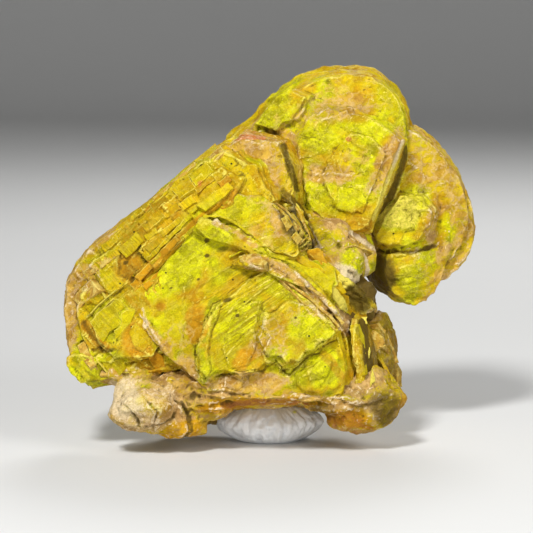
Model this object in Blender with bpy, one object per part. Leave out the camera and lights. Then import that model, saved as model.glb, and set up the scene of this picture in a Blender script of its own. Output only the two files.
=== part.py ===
"""A uranocircite specimen: one cluster of grown-together books of thin plates on a lumpy crust,
pressed on a small pad of white mounting putty.

Run it with: blender --background --python part.py

All driving dimensions are in millimetres, and the finished objects are in metres, with +Z up and the
front of the specimen towards -Y. The cluster is laid out on a sloping elevation: a drawing seen from
the front and EYE_TILT above the horizon. A point of the drawing has x to the right, h up the drawing
and depth into it. The world's origin is the middle of the putty's flat foot.
"""

import math
import random
from dataclasses import dataclass

import bmesh
import bpy
from mathutils import Matrix, Vector, noise

METRES_PER_MM = 0.001

# The drawing that the cluster is laid out on.
EYE_TILT = math.radians(7.0)
DRAWING_ZERO = Vector((-0.15, -2.35, 0.0))
ACROSS = Vector((1.0, 0.0, 0.0))
UPWARD = Vector((0.0, math.sin(EYE_TILT), math.cos(EYE_TILT)))
INWARD = Vector((0.0, math.cos(EYE_TILT), -math.sin(EYE_TILT)))

# Every leaf of a book is a plate that reaches back to the book's rear, so that the leaves overlap.
CORNER_WANDER = 0.09  # how far a leaf's corner strays from the drawn outline
NOTCH_DEPTH = 0.3  # the stair that cleavage leaves in a long edge
NOTCH_EDGE = 1.6  # edges longer than this get a notch
BEND_SPACING = 0.9  # a bowed leaf is cut into strips this wide before it is bent
ROUND_STEPS = 3  # points on a rounded outline for each drawn one

# How the overlapping leaves and lumps become one solid.
GROWTH_GRAIN = 0.12  # the cell in which they are fused
CLUSTER_TRIANGLES = 8800

# The putty pad.
PUTTY_WIDTH = 6.1
PUTTY_DEPTH = 5.0
PUTTY_HEIGHT = 2.45
PUTTY_TOP_SHARE = 0.55  # how much of the height lies above the pad's widest ring
PUTTY_SIDES, PUTTY_RINGS = 36, 12
PUTTY_FOLDS = 17
PUTTY_FOLD_DEPTH = 0.11
PUTTY_CLEARANCE = Vector((0.8, 0.8, 0.3))  # what the cluster keeps clear of the putty


@dataclass(frozen=True)
class Book:
    """A stack of leaves. Its face is the front leaf, and the leaves behind grow wider to the rear."""

    name: str
    outline: tuple  # the rear leaf's corners: drawing points, or points on the face itself if local
    depth: float  # of the face at its middle
    thick: float
    leaves: int = 3
    yaw: float = 0.0  # degrees that the face turns to the right
    pitch: float = 0.0  # degrees that the face leans back to look up
    inset: float = 0.6  # how far the front leaf's rim lies inside the rear leaf's
    slide: tuple = (0.0, 0.0)  # how far the front leaf is shifted from the rear one
    bow: float = 0.0  # how far the rim curls back from the face's middle
    rounded: bool = False
    notched: bool = False
    middle: tuple = None  # where a local outline's zero lies on the drawing


@dataclass(frozen=True)
class Lump:
    """A rounded lump of crust."""

    name: str
    middle: tuple
    depth: float
    radii: tuple
    relief: float = 0.25
    fine: int = 3
    turn: float = 0.0  # degrees about the line of sight


def tablet(width, height, corner):
    """The eight corners of a square plate with cut corners, about its own middle."""
    w, h = width / 2, height / 2
    quarter = [(w, h - corner), (w - corner, h)]
    points = []
    for sx, sy in ((1, 1), (-1, 1), (-1, -1), (1, -1)):
        corner_pair = [(sx * x, sy * y) for x, y in quarter]
        points += corner_pair if sx * sy > 0 else corner_pair[::-1]
    return tuple(points)


LEFT_SLAB = (
    Book(
        "left_slab",
        ((-12.7, 7.9), (-12.6, 10.0), (-11.7, 11.6), (-10.5, 12.8), (-7.2, 15.2), (-3.9, 18.0),
         (-2.4, 18.7), (-0.2, 17.8), (1.1, 15.4), (-1.0, 12.0), (-3.4, 8.0), (-4.6, 4.6), (-8.9, 3.9),
         (-11.0, 3.5), (-12.1, 4.6), (-12.4, 6.1)),
        depth=-2.4, thick=3.6, leaves=5, yaw=-9, pitch=9, inset=0.6, slide=(0.15, -0.35), notched=True,
    ),
    Book(
        "left_terrace",
        ((-11.8, 8.4), (-11.0, 10.8), (-9.2, 12.6), (-5.6, 15.3), (-2.5, 17.6), (-1.0, 16.8),
         (-2.4, 13.6), (-5.8, 10.6), (-5.6, 5.6), (-8.8, 4.9), (-10.8, 5.0), (-11.6, 6.4)),
        depth=-2.8, thick=1.6, leaves=3, yaw=-10, pitch=10, inset=0.5, slide=(0.2, -0.3), notched=True,
    ),
    Book(
        "left_tablet",
        ((-10.7, 7.6), (-7.9, 9.9), (-6.1, 10.6), (-5.4, 7.0), (-6.5, 5.2), (-9.1, 5.0), (-10.1, 5.8)),
        depth=-3.3, thick=1.2, leaves=2, yaw=-8, pitch=8, inset=0.3,
    ),
    Book(
        "shoulder_tablet",
        ((-4.9, 15.6), (-3.2, 17.1), (-1.6, 17.9), (-0.6, 16.6), (-2.6, 14.6)),
        depth=-2.6, thick=1.2, leaves=2, yaw=-14, pitch=12, inset=0.3,
    ),
    Book(
        "left_toe",
        ((-12.1, 5.6), (-12.1, 4.7), (-11.0, 3.5), (-9.7, 3.8), (-9.8, 5.2), (-11.0, 5.9)),
        depth=-2.5, thick=1.8, leaves=2, yaw=-16, pitch=-6, inset=0.3,
    ),
)

# Cleavage has cut the left slab's upper half into rows of small blocks of uneven height.
BLOCK_ROWS, BLOCK_COLUMNS = 3, 8
BLOCK_START = (-9.5, 9.1)  # the middle of the block nearest the left tablet
BLOCK_TURN = 40  # the rows' slope, in degrees
BLOCK_LENGTH, BLOCK_WIDTH = 1.22, 0.86
BLOCK_DEPTH, BLOCK_UNEVEN = -2.8, 0.6

RIB_COUNT = 3
RIB_START, RIB_END = (-7.6, 9.5), (-2.2, 15.0)  # the rib that lies nearest the front slab
RIB_WIDTH = 0.42
RIB_STEP = (-0.5, 0.53)  # from one rib to the next
RIB_DEPTH, RIB_DEPTH_STEP = -3.7, 0.1
RIB_SHORTER = 0.6  # how much shorter each next rib is at either end

FRONT_SLAB = (
    Book(
        "front_slab",
        ((-4.5, 13.4), (-4.1, 13.9), (-3.0, 13.9), (-0.6, 12.8), (1.9, 11.3), (3.7, 9.7), (5.1, 7.6),
         (5.7, 4.9), (5.3, 3.1), (3.1, 2.7), (0.8, 3.2), (-1.6, 3.4), (-3.2, 3.5), (-4.4, 4.4),
         (-6.1, 5.8), (-7.4, 7.6), (-7.8, 9.0), (-7.3, 10.1), (-5.8, 11.9)),
        depth=-4.0, thick=3.2, leaves=5, yaw=-2, pitch=12, inset=0.45, slide=(-0.4, -0.35), bow=0.5,
    ),
    Book(
        "front_leaf",
        ((-3.0, 8.6), (-3.8, 7.2), (-4.2, 5.8), (-3.9, 4.4), (-3.2, 3.6), (-1.3, 3.9), (1.0, 4.1),
         (2.0, 4.8), (3.4, 5.8), (4.7, 7.2), (3.3, 9.0), (1.3, 10.6), (0.0, 10.9), (-1.7, 9.8)),
        depth=-4.65, thick=1.4, leaves=2, yaw=3, pitch=12, inset=0.25,
    ),
    Book(
        "pale_leaf",
        ((-0.3, 8.3), (1.0, 9.1), (3.2, 8.9), (4.6, 7.1), (3.7, 6.5), (3.1, 5.6), (1.8, 4.8), (0.8, 4.2),
         (-0.3, 4.5), (-0.7, 6.4)),
        depth=-5.0, thick=1.2, leaves=2, yaw=7, pitch=11, inset=0.2, notched=True,
    ),
    Book(
        "corner_block",
        ((2.2, 4.9), (3.3, 5.7), (4.7, 7.0), (5.5, 4.7), (5.2, 3.1), (3.1, 2.6), (2.0, 3.1)),
        depth=-4.7, thick=1.6, leaves=3, yaw=16, pitch=6, inset=0.4,
    ),
    Book(
        "ridge_leaf",
        ((-4.5, 13.2), (-4.1, 13.9), (-3.0, 13.8), (-0.7, 12.7), (1.8, 11.1), (3.7, 9.5), (4.8, 7.6),
         (3.6, 8.6), (2.0, 9.9), (-0.2, 11.3), (-1.9, 12.1), (-3.6, 12.6)),
        depth=-4.15, thick=1.4, leaves=3, yaw=8, pitch=22, inset=0.3, slide=(-0.1, -0.1),
    ),
    Book(
        "ridge_lens",
        ((-1.9, 11.0), (-1.0, 11.6), (0.3, 11.5), (2.0, 10.4), (3.2, 9.3), (1.4, 9.7), (-0.2, 10.6)),
        depth=-4.7, thick=1.2, leaves=2, yaw=8, pitch=16, inset=0.3, rounded=True,
    ),
)

# Thin leaves that stand open behind the ridge, like the pages of a book seen from its edge.
PAGE_COUNT = 5
PAGE_THICK = 0.24
PAGE_FIRST = (2.6, 10.2)
PAGE_STEP = (0.45, -0.42)
PAGE_DEPTH, PAGE_DEPTH_STEP = -3.5, 0.3
PAGE_YAW, PAGE_YAW_STEP = 16.0, 9.0
PAGE_PITCH, PAGE_PITCH_STEP = 34.0, -7.0
PAGE_WIDTH, PAGE_HEIGHT, PAGE_GROWTH, PAGE_CORNER = 3.6, 2.4, 0.3, 0.7

UPPER_MASS = (
    Book(
        "dome",
        ((-4.2, 13.8), (-3.0, 15.0), (-1.4, 15.5), (0.4, 15.2), (1.9, 14.1), (2.8, 12.6), (2.8, 11.1),
         (1.1, 11.3), (-1.9, 12.6)),
        depth=-3.7, thick=3.0, leaves=5, yaw=4, pitch=16,
        inset=0.7, slide=(-0.7, -0.1), bow=1.1, rounded=True,
    ),
    Book(
        "saddle",
        ((-3.2, 16.9), (-2.5, 18.4), (-1.5, 19.2), (1.0, 18.7), (2.0, 17.0), (2.1, 14.8), (2.3, 12.7),
         (0.6, 13.0), (-1.6, 14.4)),
        depth=-1.9, thick=3.2, leaves=5, yaw=-6, pitch=10, inset=1.0, slide=(-0.3, -0.3), notched=True,
    ),
    Book(
        "square_plate",
        ((0.5, 18.5), (1.2, 19.3), (2.3, 18.1), (1.7, 16.9)),
        depth=-2.3, thick=1.6, leaves=1, yaw=-20, pitch=4,
    ),
    Book(
        "neck",
        ((2.4, 13.6), (4.7, 12.7), (6.3, 11.9), (6.2, 10.6), (5.9, 9.3), (5.2, 8.8), (3.8, 9.4),
         (2.4, 11.0)),
        depth=-0.3, thick=2.6, leaves=3, yaw=8, pitch=-12, inset=0.7, notched=True,
    ),
    Book(
        "neck_fold",
        ((3.9, 11.1), (5.6, 11.5), (5.9, 10.2), (5.6, 8.8), (4.6, 8.8), (3.9, 9.8)),
        depth=-1.5, thick=1.6, leaves=2, yaw=24, pitch=4, inset=0.3, bow=0.3, rounded=True,
    ),
    Book(
        "neck_lip",
        ((3.4, 13.0), (4.6, 12.6), (6.2, 12.2), (6.3, 11.4), (5.4, 11.3), (4.0, 12.0)),
        depth=-0.9, thick=1.4, leaves=2, yaw=6, pitch=-24, inset=0.2,
    ),
)

REAR_LOBE = (
    Book(
        "rear_disc",
        ((-2.3, 18.2), (-0.8, 19.9), (0.6, 21.3), (2.2, 22.4), (4.4, 23.1), (6.8, 22.9), (8.5, 21.4),
         (9.2, 19.2), (8.8, 16.6), (7.6, 14.2), (5.6, 12.0), (2.8, 12.6), (-0.4, 14.6)),
        depth=1.3, thick=2.8, leaves=4, yaw=5, pitch=8,
        inset=0.8, slide=(0.1, -0.15), bow=0.9, rounded=True,
    ),
    Book(
        "rear_leaf",
        ((1.6, 18.4), (2.2, 19.8), (3.6, 20.8), (5.4, 20.4), (7.1, 19.5), (8.4, 18.4), (7.4, 15.8),
         (6.3, 12.8), (4.4, 12.5), (2.6, 13.9), (1.8, 15.7)),
        depth=0.4, thick=1.7, leaves=3, yaw=-5, pitch=9, inset=0.25,
    ),
    Book(
        "rear_step",
        ((2.6, 16.0), (3.4, 17.4), (5.0, 19.4), (6.6, 19.0), (7.7, 17.8), (6.8, 15.4), (5.9, 13.2),
         (4.0, 13.6)),
        depth=0.1, thick=1.4, leaves=1, yaw=-7, pitch=9,
    ),
    Book(
        "rear_shoulder",
        ((-1.3, 19.2), (0.2, 21.1), (1.6, 21.9), (3.1, 21.4), (2.0, 19.6), (0.4, 18.6)),
        depth=0.9, thick=1.6, leaves=3, yaw=-14, pitch=20, inset=0.4, notched=True,
    ),
)

FAR_LOBE = (
    Book(
        "far_disc",
        ((7.6, 19.4), (9.6, 19.5), (12.1, 17.1), (13.3, 13.8), (12.4, 10.7), (9.6, 9.2), (6.8, 10.6),
         (6.2, 13.6), (6.8, 17.0)),
        depth=3.2, thick=2.6, leaves=4, yaw=12, pitch=2,
        inset=0.7, slide=(-0.2, 0.05), bow=0.8, rounded=True,
    ),
    Book(
        "far_leaf",
        ((6.2, 12.2), (6.8, 14.0), (7.8, 15.5), (9.6, 15.3), (10.4, 14.3), (10.3, 13.2), (9.6, 12.3),
         (8.2, 11.7), (7.0, 11.6)),
        depth=2.2, thick=1.6, leaves=3, yaw=4, pitch=-4, inset=0.35,
    ),
    Book(
        "far_toe",
        ((7.0, 11.7), (9.2, 12.1), (11.6, 11.6), (11.4, 9.4), (10.1, 7.8), (8.6, 7.5), (7.0, 8.8),
         (6.7, 10.6)),
        depth=3.4, thick=3.0, leaves=5, yaw=14, pitch=-14,
        inset=0.7, slide=(0.0, 0.2), bow=0.5, rounded=True,
    ),
)

RIGHT_BOOK = (
    Book(
        "right_book",
        tablet(7.2, 6.6, 1.9), middle=(7.8, 5.9), depth=1.2, thick=4.0, leaves=6,
        yaw=72, pitch=6, inset=1.3, bow=0.9, rounded=True,
    ),
    Book(
        "right_page_inner",
        tablet(4.6, 6.0, 1.3), middle=(5.7, 5.3), depth=-1.1, thick=0.35, leaves=1, yaw=58, pitch=2, bow=0.5,
    ),
    Book(
        "right_page_outer",
        tablet(4.4, 5.4, 1.2), middle=(6.6, 5.1), depth=-1.2, thick=0.35, leaves=1, yaw=76, pitch=6, bow=0.5,
    ),
)

BACK = (
    Book(
        "back_slab",
        ((-9.8, 6.4), (-9.2, 10.4), (-6.4, 13.4), (-2.6, 15.8), (1.4, 15.6), (3.6, 12.2), (3.0, 7.4),
         (0.2, 3.9), (-5.0, 3.4), (-8.8, 4.2)),
        depth=3.0, thick=3.6, leaves=5, yaw=188, pitch=10, inset=1.2, slide=(0.4, 0.2), notched=True,
    ),
    Book(
        "back_leaf",
        ((-7.0, 6.6), (-6.6, 10.6), (-3.4, 12.8), (0.6, 12.4), (1.2, 8.4), (-1.4, 5.2), (-5.0, 4.9)),
        depth=3.9, thick=1.6, leaves=3, yaw=184, pitch=13, inset=0.5, slide=(-0.2, 0.2), notched=True,
    ),
    Book(
        "back_right",
        ((1.0, 3.2), (0.4, 7.4), (2.6, 10.4), (5.6, 9.8), (7.4, 6.8), (7.2, 3.0), (4.4, 1.5)),
        depth=3.6, thick=3.4, leaves=5, yaw=164, pitch=4, inset=1.0, slide=(-0.2, 0.3), bow=0.6,
    ),
    Book(
        "back_disc",
        ((-0.8, 18.4), (1.2, 21.0), (4.6, 22.2), (7.6, 20.8), (8.4, 17.2), (6.8, 14.0), (3.0, 13.0),
         (0.0, 14.9)),
        depth=5.5, thick=2.6, leaves=4, yaw=184, pitch=-6,
        inset=0.9, slide=(0.3, 0.1), bow=0.5, rounded=True,
    ),
    Book(
        "back_disc_leaf",
        ((0.8, 17.6), (1.8, 20.0), (4.6, 21.2), (7.2, 19.4), (7.0, 16.0), (4.6, 14.2), (2.0, 15.2)),
        depth=6.2, thick=1.6, leaves=2, yaw=178, pitch=-8, inset=0.5, notched=True,
    ),
    Book(
        "back_far_disc",
        ((7.4, 17.4), (9.6, 17.9), (11.8, 15.6), (12.3, 12.6), (10.6, 10.2), (7.8, 10.2), (6.4, 13.4)),
        depth=7.2, thick=2.6, leaves=4, yaw=190, pitch=-2,
        inset=0.8, slide=(-0.2, 0.0), bow=0.4, rounded=True,
    ),
)

CRUST = (
    Lump("core_left", (-5.0, 9.0), 0.2, (5.4, 4.6, 1.9), relief=0.3, turn=42),
    Lump("core_right", (2.2, 8.2), 0.0, (4.2, 5.0, 3.2), relief=0.3),
    Lump("core_top", (2.6, 16.4), 2.6, (4.2, 4.4, 1.7), relief=0.3),
    Lump("core_far", (8.6, 13.4), 4.4, (2.8, 4.0, 1.2), relief=0.2),
    Lump("core_bridge", (3.4, 12.4), 2.4, (3.2, 3.2, 1.9), relief=0.3),
    Lump("left_knob", (-7.0, 2.5), -2.6, (2.2, 1.8, 2.0), relief=0.35),
    Lump("left_knob_heel", (-5.2, 1.5), -1.8, (1.9, 1.1, 1.7), relief=0.28),
    Lump("base_front", (0.6, 3.3), -2.4, (5.6, 0.8, 1.9), relief=0.25),
    Lump("base_left_shin", (-3.4, 2.6), -2.2, (1.6, 1.1, 1.4), relief=0.25),
    Lump("base_middle", (-1.0, 3.6), 1.4, (6.4, 1.5, 3.3), relief=0.35),
    Lump("right_heel", (5.5, 2.6), -0.8, (2.5, 1.7, 2.5), relief=0.2, turn=10),
    Lump("back_heel", (-3.6, 2.5), 3.2, (2.6, 1.4, 1.6), relief=0.35),
    Lump("back_knob", (3.0, 3.7), 3.6, (2.4, 1.4, 1.5), relief=0.35),
    Lump("waist_crust", (-2.4, 3.9), -3.1, (2.2, 0.9, 1.0), relief=0.3),
    Lump("under_left", (-8.2, 4.6), -1.2, (2.4, 1.0, 1.4), relief=0.3),
)


def on_drawing(x, h, depth):
    """The point in space, in millimetres, of a point of the drawing at a depth."""
    return DRAWING_ZERO + x * ACROSS + h * UPWARD + depth * INWARD


def face_axes(yaw, pitch):
    """The matrix whose columns are a face's own right, up and outward directions."""
    front = Matrix(((1, 0, 0), (0, 0, -1), (0, 1, 0)))  # a face that looks to -Y
    turned = Matrix.Rotation(math.radians(yaw), 3, "Z")
    leant = Matrix.Rotation(math.radians(-pitch), 3, "X")
    return turned @ leant @ front


def round_off(points):
    """A closed smooth curve through the points, by Catmull and Rom's rule."""
    made = []
    count = len(points)
    for i in range(count):
        a, b, c, d = (Vector(points[(i + k) % count]) for k in (-1, 0, 1, 2))
        for step in range(ROUND_STEPS):
            t = step / ROUND_STEPS
            square = (2 * a - 5 * b + 4 * c - d) * t**2
            cube = (3 * b - a - 3 * c + d) * t**3
            made.append(0.5 * (2 * b + (c - a) * t + square + cube))
    return made


def notch(points, rng):
    """Breaks each long edge with a stair, as cleavage does."""
    made = []
    for i, start in enumerate(points):
        end = points[(i + 1) % len(points)]
        made.append(start)
        along = end - start
        if along.length < NOTCH_EDGE:
            continue
        inward = Vector((along.y, -along.x)).normalized() * NOTCH_DEPTH * rng.uniform(0.6, 1.2)
        share = rng.uniform(0.3, 0.7)
        foot = start + along * share
        made += [foot, foot + inward] if rng.random() < 0.5 else [foot + inward, foot]
    return made


def flat_outline(book):
    """(the book's frame, its outline on its own face) for an outline that runs anticlockwise."""
    corners = [Vector(p) for p in book.outline]
    middle = Vector(book.middle) if book.middle else sum(corners, Vector((0, 0))) / len(corners)
    origin = on_drawing(middle.x, middle.y, book.depth)
    axes = face_axes(book.yaw, book.pitch)
    if book.middle:
        flat = corners
    else:
        outward = axes.col[2]
        flat = []
        for corner in corners:
            seen = on_drawing(corner.x, corner.y, book.depth)
            hit = seen + INWARD * (outward.dot(origin - seen) / outward.dot(INWARD))
            own = axes.transposed() @ (hit - origin)
            flat.append(own.xy)
    turning = sum(a.cross(b) for a, b in zip(flat, flat[1:] + flat[:1]))
    frame = Matrix.Translation(origin) @ axes.to_4x4()
    return frame, flat if turning > 0 else flat[::-1]


def add_leaf(bm, outline, front, back):
    """Adds a plate of that outline between two heights along the face's outward direction."""
    rim = [bm.verts.new((p.x, p.y, back)) for p in outline]
    floor = bm.faces.new(rim[::-1])
    grown = bmesh.ops.extrude_face_region(bm, geom=[floor])
    raised = [v for v in grown["geom"] if isinstance(v, bmesh.types.BMVert)]
    bmesh.ops.translate(bm, verts=raised, vec=(0, 0, front - back))


def bend(bm, book):
    """Curls the rim of a bowed book back, after cutting its leaves into strips that can follow."""
    reach = max(v.co.xy.length for v in bm.verts)
    for axis in (Vector((1, 0, 0)), Vector((0, 1, 0))):
        count = int(reach / BEND_SPACING)
        for step in range(-count, count + 1):
            geom = bm.verts[:] + bm.edges[:] + bm.faces[:]
            bmesh.ops.bisect_plane(bm, geom=geom, plane_co=axis * step * BEND_SPACING, plane_no=axis)
    bmesh.ops.triangulate(bm, faces=bm.faces[:])
    for vertex in bm.verts:
        vertex.co.z -= book.bow * (vertex.co.xy.length / reach) ** 2


def mesh_object(name, bm, frame):
    """A mesh object made from bm, placed by frame."""
    bmesh.ops.recalc_face_normals(bm, faces=bm.faces[:])
    bm.transform(frame)
    mesh = bpy.data.meshes.new(name)
    bm.to_mesh(mesh)
    bm.free()
    thing = bpy.data.objects.new(name, mesh)
    bpy.context.scene.collection.objects.link(thing)
    return thing


def make_leaves(book):
    """One object for each leaf of the book, the widest and rearmost first."""
    frame, flat = flat_outline(book)
    mean_reach = sum(p.length for p in flat) / len(flat)
    made = []
    for k in range(book.leaves):
        rng = random.Random(f"{book.name} {k}")
        forward = k / max(book.leaves - 1, 1)
        share = 1 - book.inset * forward / mean_reach
        slide = Vector(book.slide) * forward
        wander = [Vector((rng.uniform(-1, 1), rng.uniform(-1, 1))) * CORNER_WANDER for _ in flat]
        corners = [p * share + slide + stray for p, stray in zip(flat, wander)]
        if book.rounded:
            corners = round_off(corners)
        if book.notched:
            corners = notch(corners, rng)
        bm = bmesh.new()
        add_leaf(bm, corners, -book.thick * (1 - (k + 1) / book.leaves), -book.thick)
        if book.bow:
            bend(bm, book)
        made.append(mesh_object(f"{book.name}_{k}", bm, frame))
    return made


def make_lump(lump):
    """A pebble-like lump whose surface wanders by its relief."""
    bm = bmesh.new()
    bmesh.ops.create_icosphere(bm, subdivisions=lump.fine, radius=1.0)
    for vertex in bm.verts:
        swell = noise.noise(vertex.co * 1.7 + Vector(lump.radii))
        vertex.co *= 1 + lump.relief * swell
        vertex.co = Vector(a * b for a, b in zip(vertex.co, lump.radii))
    axes = face_axes(0, math.degrees(EYE_TILT)).to_4x4()
    turned = Matrix.Rotation(math.radians(lump.turn), 4, "Z")
    frame = Matrix.Translation(on_drawing(*lump.middle, lump.depth)) @ axes @ turned
    return mesh_object(lump.name, bm, frame)


def ribs():
    """The long narrow ledges between the left slab and the front slab."""
    start, end, step = Vector(RIB_START), Vector(RIB_END), Vector(RIB_STEP)
    along = (end - start).normalized()
    side = Vector((-along.y, along.x)) * RIB_WIDTH
    books = []
    for k in range(RIB_COUNT):
        low = start + step * k + along * RIB_SHORTER * k
        high = end + step * k - along * RIB_SHORTER * (RIB_COUNT - k)
        corners = tuple(tuple(p) for p in (low, high, high + side, low + side))
        depth = RIB_DEPTH + RIB_DEPTH_STEP * k
        books.append(Book(f"rib_{k}", corners, depth=depth, thick=1.6, leaves=1, yaw=-14, pitch=18))
    return books


def blocks():
    """The small blocks of the left slab's upper half."""
    along, across = turned((1, 0), BLOCK_TURN), turned((0, 1), BLOCK_TURN)
    rng = random.Random("blocks")
    books = []
    for row in range(BLOCK_ROWS):
        for column in range(BLOCK_COLUMNS):
            depth = BLOCK_DEPTH - BLOCK_UNEVEN * rng.random()
            place = along * (column + rng.uniform(-0.3, 0.3)) * BLOCK_LENGTH + across * row * BLOCK_WIDTH
            middle = Vector(BLOCK_START) + place
            outline = tablet(BLOCK_LENGTH * rng.uniform(1.0, 1.5), BLOCK_WIDTH * rng.uniform(1.0, 1.2), 0.1)
            corners = tuple(tuple(middle + turned(p, BLOCK_TURN)) for p in outline)
            name = f"block_{row}_{column}"
            books.append(Book(name, corners, depth=depth, thick=1.2, leaves=1, yaw=-10, pitch=11))
    return books


def turned(point, degrees):
    """A drawing vector turned anticlockwise."""
    return Matrix.Rotation(math.radians(degrees), 2) @ Vector(point)


def pages():
    """The thin leaves that stand open behind the ridge."""
    books = []
    for k in range(PAGE_COUNT):
        middle = Vector(PAGE_FIRST) + Vector(PAGE_STEP) * k
        outline = tablet(PAGE_WIDTH, PAGE_HEIGHT + PAGE_GROWTH * k, PAGE_CORNER)
        books.append(
            Book(
                f"page_{k}", outline, middle=tuple(middle),
                depth=PAGE_DEPTH + PAGE_DEPTH_STEP * k, thick=PAGE_THICK, leaves=1,
                yaw=PAGE_YAW + PAGE_YAW_STEP * k, pitch=PAGE_PITCH + PAGE_PITCH_STEP * k, bow=0.25,
            )
        )
    return books


def join_meshes(pieces, name):
    """One object that holds all the pieces' meshes, which overlap."""
    bm = bmesh.new()
    for piece in pieces:
        bm.from_mesh(piece.data)
        bpy.data.objects.remove(piece)
    return mesh_object(name, bm, Matrix())


def grow_together(pieces, name, hollow):
    """Fuses overlapping pieces into one solid, clear of the hollow, and thins it to plain facets."""
    heap = join_meshes(pieces, f"{name}_heap")
    fuse = heap.modifiers.new("fuse", "REMESH")
    fuse.mode = "VOXEL"
    fuse.voxel_size = GROWTH_GRAIN
    thin = heap.modifiers.new("thin", "DECIMATE")
    thin.ratio = CLUSTER_TRIANGLES / (2 * len(evaluated_mesh(heap).polygons))
    press = heap.modifiers.new("press", "BOOLEAN")
    press.operation = "DIFFERENCE"
    press.object = hollow
    cluster = bpy.data.objects.new(name, evaluated_mesh(heap))
    bpy.context.scene.collection.objects.link(cluster)
    for old in (heap, hollow):
        bpy.data.objects.remove(old)
    return cluster


def evaluated_mesh(thing):
    """A copy of thing's mesh with its modifiers applied."""
    graph = bpy.context.evaluated_depsgraph_get()
    return bpy.data.meshes.new_from_object(thing.evaluated_get(graph))


def keep_largest_shell(mesh):
    """Drops the sealed voids between leaves, which are shells of their own inside the solid."""
    bm = bmesh.new()
    bm.from_mesh(mesh)
    unseen = set(bm.verts)
    shells = []
    while unseen:
        start = unseen.pop()
        shell, waiting = [start], [start]
        while waiting:
            for edge in waiting.pop().link_edges:
                for vertex in edge.verts:
                    if vertex in unseen:
                        unseen.remove(vertex)
                        shell.append(vertex)
                        waiting.append(vertex)
        shells.append(shell)
    for shell in sorted(shells, key=len)[:-1]:
        bmesh.ops.delete(bm, geom=shell, context="VERTS")
    bm.to_mesh(mesh)
    bm.free()


def make_putty(name, swell=Vector((0, 0, 0))):
    """The pad: a flattened ball with pressed folds round its side and a flat foot, grown by swell."""
    bm = bmesh.new()
    bmesh.ops.create_uvsphere(bm, u_segments=PUTTY_SIDES, v_segments=PUTTY_RINGS, radius=1.0)
    for vertex in bm.verts:
        angle = math.atan2(vertex.co.y, vertex.co.x)
        ring = vertex.co.xy.length
        fold = math.cos(PUTTY_FOLDS * angle + 1.5 * math.sin(2 * angle)) * PUTTY_FOLD_DEPTH * ring**2
        vertex.co.x *= PUTTY_WIDTH / 2 + fold + swell.x
        vertex.co.y *= PUTTY_DEPTH / 2 + fold + swell.y
        vertex.co.z *= PUTTY_HEIGHT * PUTTY_TOP_SHARE + swell.z
    middle = Vector((0, 0, PUTTY_HEIGHT * (1 - PUTTY_TOP_SHARE)))
    bmesh.ops.translate(bm, verts=bm.verts[:], vec=middle)
    geom = bm.verts[:] + bm.edges[:] + bm.faces[:]
    cut = bmesh.ops.bisect_plane(bm, geom=geom, plane_co=(0, 0, 0), plane_no=(0, 0, -1), clear_outer=True)
    rim = [e for e in cut["geom_cut"] if isinstance(e, bmesh.types.BMEdge)]
    bmesh.ops.edgeloop_fill(bm, edges=rim)
    return mesh_object(name, bm, Matrix())


def finish_piece(thing, material):
    """Brings a piece from millimetres to metres and gives it its material."""
    thing.data.transform(Matrix.Scale(METRES_PER_MM, 4))
    thing.data.materials.clear()
    thing.data.materials.append(material)


def plain_material(name, colour, roughness):
    """A Principled material of one colour."""
    material = bpy.data.materials.new(name)
    material.use_nodes = True
    shader = material.node_tree.nodes["Principled BSDF"]
    shader.inputs["Base Color"].default_value = (*colour, 1.0)
    shader.inputs["Roughness"].default_value = roughness
    return material


def main():
    """Clears the scene and builds the cluster and its putty."""
    for old in list(bpy.data.objects):
        bpy.data.objects.remove(old)
    front = [*LEFT_SLAB, *blocks(), *ribs(), *FRONT_SLAB, *pages()]
    books = [*front, *UPPER_MASS, *REAR_LOBE, *FAR_LOBE, *RIGHT_BOOK, *BACK]
    pieces = [make_lump(lump) for lump in CRUST]
    for book in books:
        pieces += make_leaves(book)
    cluster = grow_together(pieces, "crystal_cluster", make_putty("hollow", PUTTY_CLEARANCE))
    keep_largest_shell(cluster.data)
    putty = make_putty("mounting_putty")
    finish_piece(cluster, plain_material("uranocircite", (0.62, 0.55, 0.06), 0.55))
    finish_piece(putty, plain_material("putty", (0.82, 0.82, 0.80), 0.7))


if __name__ == "__main__":
    main()
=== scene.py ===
"""A uranocircite specimen: books of thin leaves grown together on a lumpy crust, on a pad of white putty.

The cluster is laid out on a sloping elevation: a drawing seen from the front and a little above the
horizon, with x to the right, h up the drawing and depth into it, in millimetres. Each part of the
cluster is a class that holds its books, its lumps and its stains, grows them into one closed surface
and dresses it.
"""

import logging
import math
import random
from dataclasses import dataclass, field
from enum import Enum
from typing import Any, Sequence

import bmesh
import bpy
import numpy as np
from mathutils import Matrix, Vector
from mathutils.bvhtree import BVHTree


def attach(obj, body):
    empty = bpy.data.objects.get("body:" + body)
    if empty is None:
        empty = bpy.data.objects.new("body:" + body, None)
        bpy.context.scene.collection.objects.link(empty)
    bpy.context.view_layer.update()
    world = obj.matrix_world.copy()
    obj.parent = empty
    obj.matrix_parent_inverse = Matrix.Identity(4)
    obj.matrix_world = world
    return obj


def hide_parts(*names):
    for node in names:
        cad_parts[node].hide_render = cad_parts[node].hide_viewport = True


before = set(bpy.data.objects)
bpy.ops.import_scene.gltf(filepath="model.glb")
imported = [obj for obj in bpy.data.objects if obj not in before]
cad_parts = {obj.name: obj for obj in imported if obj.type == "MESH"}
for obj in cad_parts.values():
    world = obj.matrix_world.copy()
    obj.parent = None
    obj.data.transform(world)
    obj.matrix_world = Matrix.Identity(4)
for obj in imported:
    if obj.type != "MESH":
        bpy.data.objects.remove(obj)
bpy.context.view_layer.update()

LOG = logging.getLogger("specimen")
METRES_PER_MM = 0.001
SWAY_SEED = 20
STAIN_SEED = 40
Point = tuple[float, float]
Array = np.ndarray


# ---- The drawing ----


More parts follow.
